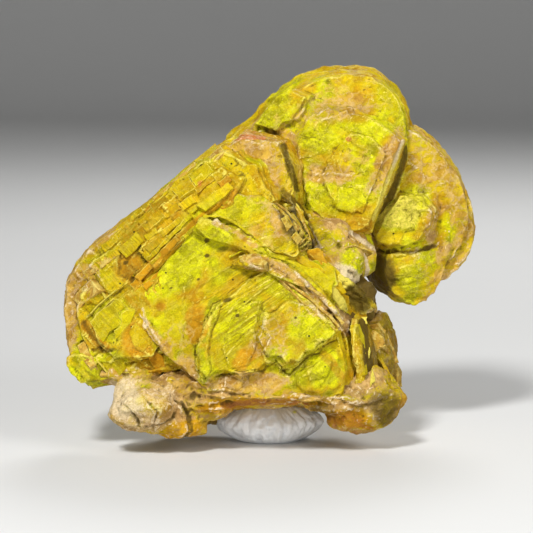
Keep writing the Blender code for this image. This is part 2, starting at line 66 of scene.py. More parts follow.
@dataclass(frozen=True)
class Drawing:
    """The sloping elevation that the cluster is laid out on."""

    tilt: float = math.radians(7.0)
    zero: tuple[float, float, float] = (-0.15, -2.35, 0.0)

    @property
    def across(self) -> Vector:
        """The drawing's x direction in space."""
        return Vector((1.0, 0.0, 0.0))

    @property
    def upward(self) -> Vector:
        """The drawing's h direction in space."""
        return Vector((0.0, math.sin(self.tilt), math.cos(self.tilt)))

    @property
    def inward(self) -> Vector:
        """The direction straight into the drawing."""
        return Vector((0.0, math.cos(self.tilt), -math.sin(self.tilt)))

    def place(self, x: float, h: float, depth: float) -> Vector:
        """The point in space, in millimetres, of a drawing point at a depth."""
        return Vector(self.zero) + x * self.across + h * self.upward + depth * self.inward

    def read(self, points: Array) -> tuple[Array, Array]:
        """Finds where points in space lie on the drawing.

        Args:
            points: An n by 3 array, in millimetres.

        Returns:
            The points' x and their h.
        """
        local = points - np.array(self.zero)
        return local @ np.array(self.across), local @ np.array(self.upward)


DRAWING = Drawing()


def turned(point: Sequence[float], degrees: float) -> Vector:
    """A drawing vector turned anticlockwise."""
    return Matrix.Rotation(math.radians(degrees), 2) @ Vector(point)


def face_axes(yaw: float, pitch: float) -> Matrix:
    """Finds how a face is turned.

    Args:
        yaw: Its turn about the upright, in degrees.
        pitch: How far it leans back, in degrees.

    Returns:
        The matrix whose columns are the face's own right, up and outward directions.
    """
    front = Matrix(((1, 0, 0), (0, 0, -1), (0, 1, 0)))
    turn = Matrix.Rotation(math.radians(yaw), 3, "Z")
    lean = Matrix.Rotation(math.radians(-pitch), 3, "X")
    return turn @ lean @ front


def tablet(width: float, height: float, corner: float) -> tuple[Point, ...]:
    """The outline of a plate with cut corners, about its own middle.

    Args:
        width: The plate's width.
        height: The plate's height.
        corner: How much is cut from each corner along both sides.

    Returns:
        The eight corners, anticlockwise.
    """
    w, h = width / 2, height / 2
    quarter = [(w, h - corner), (w - corner, h)]
    points: list[Point] = []
    for sx, sy in ((1, 1), (-1, 1), (-1, -1), (1, -1)):
        pair = [(sx * x, sy * y) for x, y in quarter]
        points += pair if sx * sy > 0 else pair[::-1]
    return tuple(points)


def ramp(values: Array, low: float, high: float) -> Array:
    """Rises smoothly from 0 where values are at low to 1 where they are at high."""
    t = np.clip((values - low) / (high - low), 0.0, 1.0)
    return t * t * (3.0 - 2.0 * t)


def meshed(name: str, bm: bmesh.types.BMesh) -> bpy.types.Mesh:
    """Turns a working mesh into a kept one.

    Args:
        name: The kept mesh's name.
        bm: The working mesh, which this frees.

    Returns:
        The kept mesh.
    """
    mesh = bpy.data.meshes.new(name)
    bm.to_mesh(mesh)
    bm.free()
    return mesh


def linked(name: str, data: bpy.types.ID) -> bpy.types.Object:
    """Puts an object in the scene.

    Args:
        name: The object's name.
        data: Its mesh, lamp or camera.

    Returns:
        The object.
    """
    thing = bpy.data.objects.new(name, data)
    bpy.context.scene.collection.objects.link(thing)
    return thing


# ---- Random fields ----


@dataclass(frozen=True)
class Field:
    """Random fields in space that come out the same on every run."""

    seed: int

    def _hashed(self, cells: Array) -> Array:
        """Draws a random number for each whole-numbered cell.

        Args:
            cells: An n by 3 array of whole numbers.

        Returns:
            A number from 0 to 1 for each.
        """
        mixed = np.full(len(cells), (self.seed * 2654435761 + 97) & 0xFFFFFFFF, np.uint64)
        for axis, prime in enumerate((73856093, 19349663, 83492791)):
            mixed ^= (cells[:, axis].astype(np.int64) & 0xFFFFFFFF).astype(np.uint64) * np.uint64(prime)
            mixed = (mixed ^ (mixed >> np.uint64(13))) * np.uint64(1274126177) & np.uint64(0xFFFFFFFF)
            mixed ^= mixed >> np.uint64(16)
        return mixed.astype(np.float64) / 0xFFFFFFFF

    def smooth(self, points: Array, size: float) -> Array:
        """A smooth field from -1 to 1 whose swells are about size across.

        Args:
            points: An n by 3 array, in millimetres.
            size: The distance over which the field changes, in millimetres.

        Returns:
            One value for each point.
        """
        scaled = points / size + 0.31 * self.seed
        cells = np.floor(scaled)
        t = scaled - cells
        t = t * t * t * (t * (t * 6.0 - 15.0) + 10.0)
        total = np.zeros(len(points))
        for corner in np.ndindex(2, 2, 2):
            step = np.array(corner)
            share = np.prod(np.where(step == 1, t, 1.0 - t), axis=1)
            total += share * self._hashed(cells + step)
        return total * 2.0 - 1.0

    def rough(self, points: Array, size: float, layers: int = 3, keep: float = 0.5) -> Array:
        """Smooth fields of ever finer size, added up.

        Args:
            points: An n by 3 array, in millimetres.
            size: The coarsest field's size.
            layers: How many fields are added.
            keep: Each next field's strength beside the one before.

        Returns:
            One value for each point, mostly from -1 to 1.
        """
        total, strength, weight = np.zeros(len(points)), 1.0, 0.0
        twist = np.array(((0.80, 0.60, 0.0), (-0.48, 0.64, 0.60), (0.36, -0.48, 0.80)))
        for _ in range(layers):
            total += strength * self.smooth(points, size)
            weight += strength
            strength *= keep
            size *= 0.47
            points = points @ twist
        return total / weight

    def bricks(self, along: Array, across: Array, length: float, width: float) -> Array:
        """A random height for each brick of a wall of unevenly cut bricks.

        Args:
            along: Each point's distance along the rows.
            across: Each point's distance across the rows.
            length: A brick's usual length.
            width: A row's width.

        Returns:
            A height from 0 to 1 for each point, the same all over one brick.
        """
        row = np.floor(across / width)
        zeros = np.zeros(len(row))
        offset = self._hashed(np.stack((row, zeros, zeros), axis=1))
        stretch = 0.7 + 0.6 * self._hashed(np.stack((row, zeros + 5, zeros), axis=1))
        column = np.floor(along / (length * stretch) + offset * 7.0)
        return self._hashed(np.stack((row, column, zeros + 9), axis=1))


@dataclass(frozen=True)
class Swell:
    """A rough field's size in millimetres, its layers and its height."""

    size: float
    layers: int
    rise: float = 1.0

    def over(self, points: Array, seed: int) -> Array:
        """Its height at each point."""
        return self.rise * Field(seed).rough(points, self.size, self.layers)


# ---- What the cluster is made of ----


@dataclass(frozen=True)
class Book:
    """A stack of leaves. Its face is the front leaf, and the leaves behind grow wider to the rear."""

    name: str
    outline: tuple[Point, ...]
    depth: float
    thick: float
    yaw: float = 0.0
    pitch: float = 0.0
    inset: float = 0.6
    slide: Point = (0.0, 0.0)
    bow: float = 0.0
    rounded: bool = False
    ragged: float = 0.10
    leaf: float = 0.36
    middle: Point | None = None

    def flattened(self) -> tuple[Matrix, list[Vector]]:
        """Lays the outline on the face's own plane.

        Returns:
            The face's frame, and the outline on it, anticlockwise.
        """
        corners = [Vector(p) for p in self.outline]
        middle = Vector(self.middle) if self.middle else sum(corners, Vector((0, 0))) / len(corners)
        origin = DRAWING.place(middle.x, middle.y, self.depth)
        axes = face_axes(self.yaw, self.pitch)
        flat = corners
        if not self.middle:
            outward, flat = axes.col[2], []
            for corner in corners:
                seen = DRAWING.place(corner.x, corner.y, self.depth)
                reach = outward.dot(origin - seen) / outward.dot(DRAWING.inward)
                flat.append((axes.transposed() @ (seen + DRAWING.inward * reach - origin)).xy)
        turning = sum(a.cross(b) for a, b in zip(flat, flat[1:] + flat[:1]))
        return Matrix.Translation(origin) @ axes.to_4x4(), flat if turning > 0 else flat[::-1]


@dataclass(frozen=True)
class Lump:
    """A rounded lump of crust."""

    name: str
    middle: Point
    depth: float
    radii: tuple[float, float, float]
    relief: float = 0.25
    turn: float = 0.0
    swell: Swell = Swell(0.6, 3)

    def frame(self) -> Matrix:
        """Finds where the lump lies.

        Returns:
            The lump's frame.
        """
        axes = face_axes(0.0, math.degrees(DRAWING.tilt)).to_4x4()
        turn = Matrix.Rotation(math.radians(self.turn), 4, "Z")
        return Matrix.Translation(DRAWING.place(*self.middle, self.depth)) @ axes @ turn

    def pebble(self) -> bmesh.types.BMesh:
        """Shapes the lump about its own middle.

        Returns:
            The lump's mesh.
        """
        bm = bmesh.new()
        bmesh.ops.create_icosphere(bm, subdivisions=4, radius=1.0)
        unit, radii = np.array([v.co for v in bm.verts]), np.array(self.radii)
        grown = 1.0 + self.relief * self.swell.over(unit + radii, len(self.name))
        for vertex, place in zip(bm.verts, unit * grown[:, None] * radii):
            vertex.co = place
        return bm


class Stain(Enum):
    """What a patch of the surface can be coloured by. Dark also carries painted shade, and the pale edge
    stain also carries painted highlights.
    """

    LIME = "lime"
    ORANGE = "orange"
    TAN = "tan"
    # The pale edge stain: pale crust and edges, and also painted highlights on edges.
    CREAM_AND_HIGHLIGHT = "cream_and_highlight"
    # Dark: dark marks and specks, and also painted shade in dips, cracks and shadowed places.
    DARK = "dark"
    RUST = "rust"
    COMBED = "combed"


LIME, ORANGE, TAN, CREAM_AND_HIGHLIGHT, DARK, RUST, COMBED = Stain


@dataclass(frozen=True)
class Sight:
    """Points as the drawing shows them, with a rough field that frays whatever is laid on them."""

    x: Array
    h: Array
    stray: Array


@dataclass(frozen=True)
class Patch:
    """A soft-edged oval stain on the drawing."""

    stain: Stain
    middle: Point
    reach: Point
    turn: float = 0.0
    strength: float = 1.0
    wander: float = 0.35

    def weigh(self, seen: Sight) -> Array:
        """How strongly the patch stains each point.

        Args:
            seen: The points.

        Returns:
            A strength for each.
        """
        along, up = turned((1, 0), self.turn), turned((0, 1), self.turn)
        dx, dh = seen.x - self.middle[0], seen.h - self.middle[1]
        u = (dx * along.x + dh * along.y) / self.reach[0]
        v = (dx * up.x + dh * up.y) / self.reach[1]
        return self.strength * (1.0 - ramp(np.hypot(u, v) + self.wander * seen.stray, 0.55, 1.25))


def apart(seen: Sight, start: Point, end: Point) -> Array:
    """Measures how far points lie from a straight line.

    Args:
        seen: The points.
        start: The line's start.
        end: The line's end.

    Returns:
        A distance for each point.
    """
    sx, sh = end[0] - start[0], end[1] - start[1]
    dx, dh = seen.x - start[0], seen.h - start[1]
    t = np.clip((dx * sx + dh * sh) / (sx * sx + sh * sh), 0.0, 1.0)
    return np.hypot(dx - t * sx, dh - t * sh)


@dataclass(frozen=True)
class Streak:
    """A stain that follows a line on the drawing."""

    stain: Stain
    path: tuple[Point, ...]
    width: float
    strength: float = 1.0
    wander: float = 0.3

    def weigh(self, seen: Sight) -> Array:
        """How strongly the streak stains each point.

        Args:
            seen: The points.

        Returns:
            A strength for each.
        """
        nearest = np.min([apart(seen, *ends) for ends in zip(self.path, self.path[1:])], axis=0)
        return self.strength * (1.0 - ramp(nearest / self.width + self.wander * seen.stray, 0.45, 1.1))


@dataclass(frozen=True)
class Flake:
    """A thin plate that lies on a face, or a shallow bed that is missing from it."""

    outline: tuple[Point, ...]
    rise: float
    fray: float = 0.06

    def rises(self, seen: Sight) -> Array:
        """How far the flake lifts each point.

        Args:
            seen: The points.

        Returns:
            A height for each, in millimetres.
        """
        sides = list(zip(self.outline, self.outline[1:] + self.outline[:1]))
        nearest = np.min([apart(seen, *ends) for ends in sides], axis=0)
        inside = np.zeros(len(seen.x), bool)
        for (ax, ah), (bx, bh) in sides:
            if bh != ah:
                crossing = ax + (bx - ax) * (seen.h - ah) / (bh - ah)
                inside ^= ((ah > seen.h) != (bh > seen.h)) & (seen.x < crossing)
        return self.rise * ramp(np.where(inside, nearest, -nearest) + self.fray * seen.stray, -0.03, 0.05)


@dataclass(frozen=True)
class Fold:
    """A narrow ridge along a line on the drawing, or a crack where its rise is below 0."""

    path: tuple[Point, ...]
    width: float
    rise: float
    wander: float = 0.1

    def rises(self, seen: Sight) -> Array:
        """How far the fold lifts each point.

        Args:
            seen: The points.

        Returns:
            A height for each, in millimetres.
        """
        shift = self.wander * seen.stray
        line = Streak(DARK, self.path, self.width, self.rise, 0.0)
        return line.weigh(Sight(seen.x + shift, seen.h - shift, seen.stray))


def terraces(arc: Sequence[Point], root: Point, count: int, step: float, drop: float) -> tuple[Flake, ...]:
    """Beds that each end short of the one under it, like shells that fan out from one root.

    Args:
        arc: The lowest bed's edge.
        root: The point that the edges meet at.
        count: How many beds there are.
        step: How far each edge falls short of the last, as a share of its distance from the root.
        drop: The height of each step, in millimetres.

    Returns:
        The part that is missing from each bed.
    """
    heart, rim = Vector(root), [Vector(point) for point in arc]
    outer = [tuple(heart + (point - heart) * 1.2) for point in rim]
    beds = []
    for k in range(count):
        edge = [tuple(heart + (point - heart) * (1 - step * (k + 1))) for point in rim]
        beds.append(Flake((*edge, *outer[::-1]), -drop, 0.04))
    return tuple(beds)


def ovals(stain: Stain, *rows: tuple[float, ...]) -> tuple[Patch, ...]:
    """Oval patches of one stain.

    Args:
        stain: The stain.
        rows: Each oval's x, h and two reaches, then its turn, strength and wander where they aren't the
            usual ones.

    Returns:
        The patches.
    """
    return tuple(Patch(stain, (x, h), (across, up), *rest) for x, h, across, up, *rest in rows)


def specks(*spots: tuple[float, float, float]) -> tuple[Patch, ...]:
    """Small dark inclusions, each given by its x, h and radius."""
    return tuple(Patch(DARK, (x, h), (r, 0.8 * r), 10, 0.95, 0.3) for x, h, r in spots)


@dataclass(frozen=True)
class Cleavage:
    """How a part's broad faces are cut, in its own plane.

    There are rows of bricks with chips on them, terraces, fine combs and scattered flakes, and thin
    sheets on the sides. A run stretches or shortens a pattern along its rows, a fray roughens its
    borders, and a from is where a facing starts and ends to count.
    """

    yaw: float = 0.0
    pitch: float = 10.0
    turn: float = 40.0
    brick: Point = (1.3, 0.8)
    brick_rise: float = 0.1
    brick_fray: float = 0.12
    chip: Point = (0.42, 0.38)
    chip_rise: float = 0.45
    chip_fray: float = 0.08
    chip_shift: float = 50.0
    comb: float = 0.5
    comb_rise: float = 0.04
    comb_run: float = 9.0
    terrace: float = 0.25
    terrace_rise: float = 0.1
    terrace_spread: float = 5.0
    terrace_run: float = 0.45
    levels: float = 2.5
    sheet: float = 0.3
    sheet_rise: float = 0.06
    sheet_run: float = 0.12
    flakes: int = 90
    flake_size: Point = (0.5, 1.8)
    flake_shape: Point = (0.3, 0.8)
    flake_rise: float = 0.06
    flake_rises: Point = (0.4, 1.3)
    flake_corner: float = 0.25
    flake_fray: float = 0.12
    flake_edge: Point = (0.62, 0.72)
    face_from: Point = (0.72, 0.9)
    side_from: Point = (0.45, 0.8)
    back_shift: float = 37.0

    def axes(self) -> tuple[Array, Array, Array]:
        """Finds the cuts' directions in space.

        Returns:
            The directions along the rows, across them and out of the face.
        """
        face = face_axes(self.yaw, self.pitch)
        angle = math.radians(self.turn)
        along = face.col[0] * math.cos(angle) + face.col[1] * math.sin(angle)
        across = face.col[1] * math.cos(angle) - face.col[0] * math.sin(angle)
        return np.array(along), np.array(across), np.array(face.col[2])

    def stairs(self, place: Array, stray: Array, chance: Field) -> Array:
        """Works out how bricks, the chips on them, terraces and combs lift the broad faces.

        Args:
            place: The points' distances along the rows, across them and out of the face.
            stray: A rough field that frays the bricks' borders.
            chance: The source of chance.

        Returns:
            A height for each point, in millimetres.
        """
        u, v, w = place
        bricks = chance.bricks(u + self.brick_fray * stray, v, *self.brick)
        length, width = (whole * part for whole, part in zip(self.brick, self.chip))
        chips = chance.bricks(u + self.chip_fray * stray, v + self.chip_shift, length, width)
        run = np.stack((u * self.terrace_run, v, w), axis=1)
        swell = chance.rough(run, self.terrace * self.terrace_spread, 3)
        combs = chance.smooth(np.stack((u / self.comb_run, v, 0.0 * w), axis=1), self.comb / 2)
        return (
            self.brick_rise * (bricks - 0.5) * 2.0
            + self.brick_rise * self.chip_rise * (chips - 0.5)
            + self.terrace_rise * np.floor(swell * self.levels * 2.0) / self.levels
            + self.comb_rise * combs
        )

    def scattered(self, place: Array, stray: Array, seed: int) -> Array:
        """Scatters thin flakes with square corners over the broad faces.

        Args:
            place: The points' distances along the rows, across them and out of the face.
            stray: A rough field that frays the flakes' borders.
            seed: Where the draws start.

        Returns:
            A height for each point, in millimetres.
        """
        rng = np.random.default_rng(seed)
        u, v, _ = place
        rise = np.zeros(len(u))
        for _ in range(self.flakes):
            at = rng.integers(len(u))
            length = rng.uniform(*self.flake_size)
            width = length * rng.uniform(*self.flake_shape)
            height = self.flake_rise * rng.uniform(*self.flake_rises) * rng.choice((-1.0, 1.0))
            du, dv = np.abs(u - u[at]) / length, np.abs(v - v[at]) / width
            reach = np.maximum(du, dv) + self.flake_corner * (du + dv)
            rise += height * (1.0 - ramp(reach + self.flake_fray * stray, *self.flake_edge))
        return rise


# ---- Growing a surface ----


@dataclass
class Ground:
    """The parts that crisp plates lie on, felt from the front of the drawing."""

    parts: tuple[str, ...]
    start: float = -30.0
    ring_reach: float = 0.5
    corner_share: float = 0.8
    outlier: float = 0.7
    trees: list[BVHTree] = field(init=False)

    def __post_init__(self) -> None:
        """Makes a search tree of each part."""
        graph = bpy.context.evaluated_depsgraph_get()
        self.trees = [BVHTree.FromObject(bpy.data.objects[part], graph) for part in self.parts]

    def depth(self, spot: Vector) -> float | None:
        """Feels for the ground at a spot.

        Args:
            spot: The spot on the drawing.

        Returns:
            How deep in the drawing the ground lies, or None where there is none.
        """
        start = DRAWING.place(*spot, self.start) * METRES_PER_MM
        reached = [tree.ray_cast(start, DRAWING.inward)[3] for tree in self.trees]
        hits = [reach / METRES_PER_MM + self.start for reach in reached if reach is not None]
        return min(hits, default=None)

    def slope(self, outline: Sequence[Point]) -> tuple[float, Vector]:
        """Fits a plane to the ground under an outline.

        Args:
            outline: The outline on the drawing.

        Returns:
            The plane's depth at the outline's middle, and the direction that it faces.
        """
        corners = [Vector(p) for p in outline]
        middle = sum(corners, Vector((0, 0))) / len(corners)
        ring = [turned((self.ring_reach, 0), 45 * k) for k in range(8)]
        spots = [Vector((0, 0)), *ring, *((corner - middle) * self.corner_share for corner in corners)]
        felt = [(1.0, *spot, depth) for spot in spots if (depth := self.depth(middle + spot)) is not None]
        rows = np.array(felt)
        rows = rows[np.abs(rows[:, 3] - np.median(rows[:, 3])) < self.outlier]
        fitted = np.linalg.lstsq(rows[:, :3], rows[:, 3], rcond=None)[0]
        depth, across, up = (float(part) for part in fitted)
        return depth, (DRAWING.across * across + DRAWING.upward * up - DRAWING.inward).normalized()


@dataclass(frozen=True)
class Plate:
    """A thin crisp plate that lies on the ground.

    Its path is its outline or, where it has a width, the middle line of a strip.
    """

    path: tuple[Point, ...]
    rise: float
    width: float = 0.0
    tone: float = 0.4
    stain: Stain | None = None
    bow: float = 0.0
    rounded: bool = False
    thick: float = 0.6
    ragged: float = 0.06

    def outline(self) -> tuple[Point, ...]:
        """Draws the plate.

        Returns:
            The plate's outline on the drawing.
        """
        if not self.width:
            return self.path
        points = [Vector(p) for p in self.path]
        left, right = [], []
        for before, point, after in zip([points[0], *points], points, [*points[1:], points[-1]]):
            heading = (after - before).normalized()
            side = Vector((-heading.y, heading.x)) * self.width / 2
            left.append(tuple(point + side))
            right.append(tuple(point - side))
        return (*left, *right[::-1])

    def laid(self, name: str, ground: Ground) -> Book:
        """Lays the plate on the ground.

        Args:
            name: The name that its chances are drawn from.
            ground: The ground.

        Returns:
            The plate as a book of one leaf.
        """
        outline = self.outline()
        depth, facing = ground.slope(outline)
        yaw, pitch = (math.degrees(turn) for turn in (math.atan2(facing.x, -facing.y), math.asin(facing.z)))
        return Book(
            name, outline, depth - self.rise, self.thick, yaw=yaw, pitch=pitch, bow=self.bow,
            rounded=self.rounded, ragged=self.ragged,
        )


def blocks(stain: Stain | None, *rows: tuple[float, ...]) -> tuple[Plate, ...]:
    """Straight-sided blocks that cleavage has cut.

    Args:
        stain: What colours them, if anything does.
        rows: Each block's x, h, length, heading in degrees, width, rise and tone.

    Returns:
        The blocks.
    """
    made = []
    for x, h, length, heading, width, rise, tone in rows:
        end = Vector((x, h)) + turned((length, 0), heading)
        made.append(Plate(((x, h), tuple(end)), rise, width, tone, stain))
    return tuple(made)


Books = tuple[Book, ...]
Marks = tuple[Patch | Streak, ...]
Reliefs = tuple[Flake | Fold, ...]
Plates = tuple[Plate, ...]


@dataclass
class Heap:
    """Leaves and lumps that overlap, gathered in one mesh in millimetres."""

    bm: bmesh.types.BMesh = field(default_factory=bmesh.new)

    def add(self, piece: bmesh.types.BMesh, place: Matrix) -> None:
        """Moves a piece to its place and adds it.

        Args:
            piece: The piece's mesh, which this frees.
            place: The piece's frame.
        """
        bmesh.ops.recalc_face_normals(piece, faces=piece.faces[:])
        piece.transform(place)
        kept = meshed("piece", piece)
        self.bm.from_mesh(kept)
        bpy.data.meshes.remove(kept)

    def fuse(self, name: str, grain: float) -> bpy.types.Object:
        """Turns the heap into one closed surface.

        Args:
            name: The new object's name.
            grain: The cell size that it is fused at, in millimetres.

        Returns:
            The object, in millimetres.
        """
        loose = meshed(name, self.bm)
        thing = linked(name, loose)
        remesh = thing.modifiers.new("fuse", "REMESH")
        remesh.mode = "VOXEL"
        remesh.voxel_size = grain
        graph = bpy.context.evaluated_depsgraph_get()
        fused = bpy.data.meshes.new_from_object(thing.evaluated_get(graph))
        thing.modifiers.clear()
        thing.data = fused
        bpy.data.meshes.remove(loose)
        return thing


@dataclass(frozen=True)
class LeafCutter:
    """Cuts the leaves of a book."""

    spacing: float = 0.22
    strip: float = 0.9
    round_steps: int = 4
    groove: float = 0.2
    groove_share: float = 0.34
    stairs: tuple[float, ...] = (0.4, 1.0, 1.7)
    longest_stair: int = 6
    chip: float = 0.03
    jut_in: float = 0.12
    jut_out: float = 0.10
    jut_share: float = 0.6
    groove_spread: Point = (0.6, 1.4)
    overlap: float = 0.02
    slip: float = 0.05
    tip: float = 0.006

    def rounded(self, points: Sequence[Vector]) -> list[Vector]:
        """Draws a closed smooth curve through points, by Catmull and Rom's rule.

        Args:
            points: The points.

        Returns:
            The curve's points.
        """
        made = []
        count = len(points)
        for i in range(count):
            a, b, c, d = (points[(i + k) % count] for k in (-1, 0, 1, 2))
            for step in range(self.round_steps):
                t = step / self.round_steps
                bend = (2 * a - 5 * b + 4 * c - d) * t**2 + (3 * b - a - 3 * c + d) * t**3
                made.append(0.5 * (2 * b + (c - a) * t + bend))
        return made

    def torn(self, points: Sequence[Vector], amount: float, rng: random.Random) -> list[Vector]:
        """Breaks an outline into small stairs and chips.

        Args:
            points: The outline's corners, anticlockwise.
            amount: How far the stairs reach, in millimetres.
            rng: The source of chance.

        Returns:
            The ragged outline.
        """
        made: list[Vector] = []
        for i, start in enumerate(points):
            end = points[(i + 1) % len(points)]
            along = end - start
            if along.length < 1e-6:
                continue
            inward = Vector((-along.y, along.x)).normalized()
            steps = max(int(along.length / self.spacing), 1)
            level, run = rng.uniform(0.0, amount), 0
            for step in range(steps):
                if run <= 0:
                    level = rng.uniform(0.0, amount) * rng.choice(self.stairs)
                    run = rng.randint(1, self.longest_stair)
                run -= 1
                chip = level + rng.uniform(-self.chip, self.chip)
                made.append(start + along * (step / steps) + inward * chip)
        return made

    def plate(self, outline: Sequence[Vector], front: float, back: float) -> bmesh.types.BMesh:
        """Cuts a flat plate.

        Args:
            outline: The plate's outline.
            front: The height of its front face.
            back: The height of its back face.

        Returns:
            The plate.
        """
        bm = bmesh.new()
        floor = bm.faces.new([bm.verts.new((p.x, p.y, back)) for p in outline][::-1])
        grown = bmesh.ops.extrude_face_region(bm, geom=[floor])
        raised = [v for v in grown["geom"] if isinstance(v, bmesh.types.BMVert)]
        bmesh.ops.translate(bm, verts=raised, vec=(0, 0, front - back))
        return bm

    def bend(self, bm: bmesh.types.BMesh, bow: float, tilt: Point) -> None:
        """Curls a plate's rim back and tips the plate a little.

        Args:
            bm: The plate.
            bow: How far the rim curls back, in millimetres.
            tilt: The plate's slopes along its two sides.
        """
        reach = max(v.co.xy.length for v in bm.verts)
        if bow:
            for axis in (Vector((1, 0, 0)), Vector((0, 1, 0))):
                count = int(reach / self.strip)
                for step in range(-count, count + 1):
                    geom = bm.verts[:] + bm.edges[:] + bm.faces[:]
                    bmesh.ops.bisect_plane(bm, geom=geom, plane_co=axis * step * self.strip, plane_no=axis)
            bmesh.ops.triangulate(bm, faces=bm.faces[:])
        for vertex in bm.verts:
            vertex.co.z -= bow * (vertex.co.xy.length / reach) ** 2
            vertex.co.z += vertex.co.x * tilt[0] + vertex.co.y * tilt[1]

    def cut(self, book: Book, heap: Heap) -> None:
        """Cuts every leaf of a book and adds it to the heap.

        Args:
            book: The book.
            heap: The heap that takes the leaves.
        """
        place, flat = book.flattened()
        mean_reach = sum(p.length for p in flat) / len(flat)
        rng = random.Random(book.name)
        count = max(round(book.thick / book.leaf), 1)
        heights = [-book.thick + book.thick * (k / count) for k in range(count + 1)]
        for k in range(count):
            forward = k / max(count - 1, 1)
            jut = rng.uniform(-self.jut_in, self.jut_out) if count > 1 else 0.0
            share = 1 - (book.inset * forward + jut * self.jut_share) / mean_reach
            slip = Vector((rng.uniform(-1, 1), rng.uniform(-1, 1))) * self.slip
            slide = Vector(book.slide) * forward + slip
            shape = [p * share + slide for p in flat]
            if book.rounded:
                shape = self.rounded(shape)
            low, high = heights[k], heights[k + 1]
            top = high - (high - low) * self.groove_share if k < count - 1 else high
            tilt = (rng.uniform(-self.tip, self.tip), rng.uniform(-self.tip, self.tip))
            leaf = self.plate(self.torn(shape, book.ragged, rng), top, low)
            self.bend(leaf, book.bow, tilt)
            heap.add(leaf, place)
            if k < count - 1:
                narrower = 1 - rng.uniform(*self.groove_spread) * self.groove / mean_reach
                front, back = high + self.overlap, low + self.overlap / 2
                core = self.plate([p * narrower for p in shape], front, back)
                self.bend(core, book.bow, tilt)
                heap.add(core, place)


@dataclass(frozen=True)
class SlateCutter(LeafCutter):
    """Cuts single crisp plates with a bevelled rim, which lie on the fused surface."""

    bevel: float = 0.025
    rim: float = 0.035
    side_share: float = 0.7
    grid: float = 0.3
    wave: float = 0.05
    wave_size: float = 1.4
    slant: float = 0.04

    @staticmethod
    def shrunk(points: Sequence[Vector], amount: float) -> list[Vector]:
        """An anticlockwise outline moved inwards.

        Args:
            points: The outline.
            amount: How far each side moves, in millimetres.

        Returns:
            The smaller outline.
        """
        made = []
        for i, point in enumerate(points):
            before = (point - points[i - 1]).normalized()
            after = (points[(i + 1) % len(points)] - point).normalized()
            inward = Vector((-before.y - after.y, before.x + after.x))
            made.append(point + inward.normalized() * amount if inward.length > 1e-6 else point.copy())
        return made

    def slate(self, book: Book, seed: int) -> tuple[bmesh.types.BMesh, Matrix]:
        """Cuts one plate, whose points hold how near the rim they lie.

        Args:
            book: The plate's outline, place and thickness.
            seed: Which waves it gets.

        Returns:
            The plate and its frame.
        """
        place, flat = book.flattened()
        rng = random.Random(book.name)
        shape = self.rounded(flat) if book.rounded else flat
        shape = self.torn(shape, book.ragged, rng)
        bm = bmesh.new()
        rim = bm.verts.layers.float.new("rim")
        inner = self.shrunk(shape, self.bevel)
        levels = (
            (shape, -book.thick, 0.0),
            (shape, -self.bevel, self.side_share),
            (inner, 0.0, 1.0),
            (self.shrunk(inner, self.rim), 0.0, 0.0),
        )
        rings = []
        for outline, height, share in levels:
            ring = [bm.verts.new((p.x, p.y, height)) for p in outline]
            for vertex in ring:
                vertex[rim] = share
            rings.append(ring)
        for low, high in zip(rings, rings[1:]):
            for i in range(len(low)):
                j = (i + 1) % len(low)
                bm.faces.new((low[i], low[j], high[j], high[i]))
        bm.faces.new(rings[-1])
        bm.faces.new(rings[0][::-1])
        self._grid(bm)
        reach = max(v.co.xy.length for v in bm.verts)
        slope = Vector((rng.uniform(-self.slant, self.slant), rng.uniform(-self.slant, self.slant)))
        spots = np.array([tuple(place @ v.co) for v in bm.verts])
        for vertex, wave in zip(bm.verts, Field(seed).rough(spots, self.wave_size, 2) * self.wave):
            flat_place = vertex.co.xy
            vertex.co.z += wave + flat_place.dot(slope) - book.bow * (flat_place.length / reach) ** 2
        return bm, place

    def _grid(self, bm: bmesh.types.BMesh) -> None:
        """Cuts a plate into cells small enough to bend and to colour.

        Args:
            bm: The plate.
        """
        for axis in (0, 1):
            low, high = (pick(v.co[axis] for v in bm.verts) for pick in (min, max))
            normal = Vector((1 - axis, axis, 0))
            for step in range(1, int((high - low) / self.grid)):
                geom, spot = bm.verts[:] + bm.edges[:] + bm.faces[:], normal * (low + step * self.grid)
                bmesh.ops.bisect_plane(bm, geom=geom, plane_co=spot, plane_no=normal)
        bmesh.ops.triangulate(bm, faces=[f for f in bm.faces if len(f.verts) > 4])


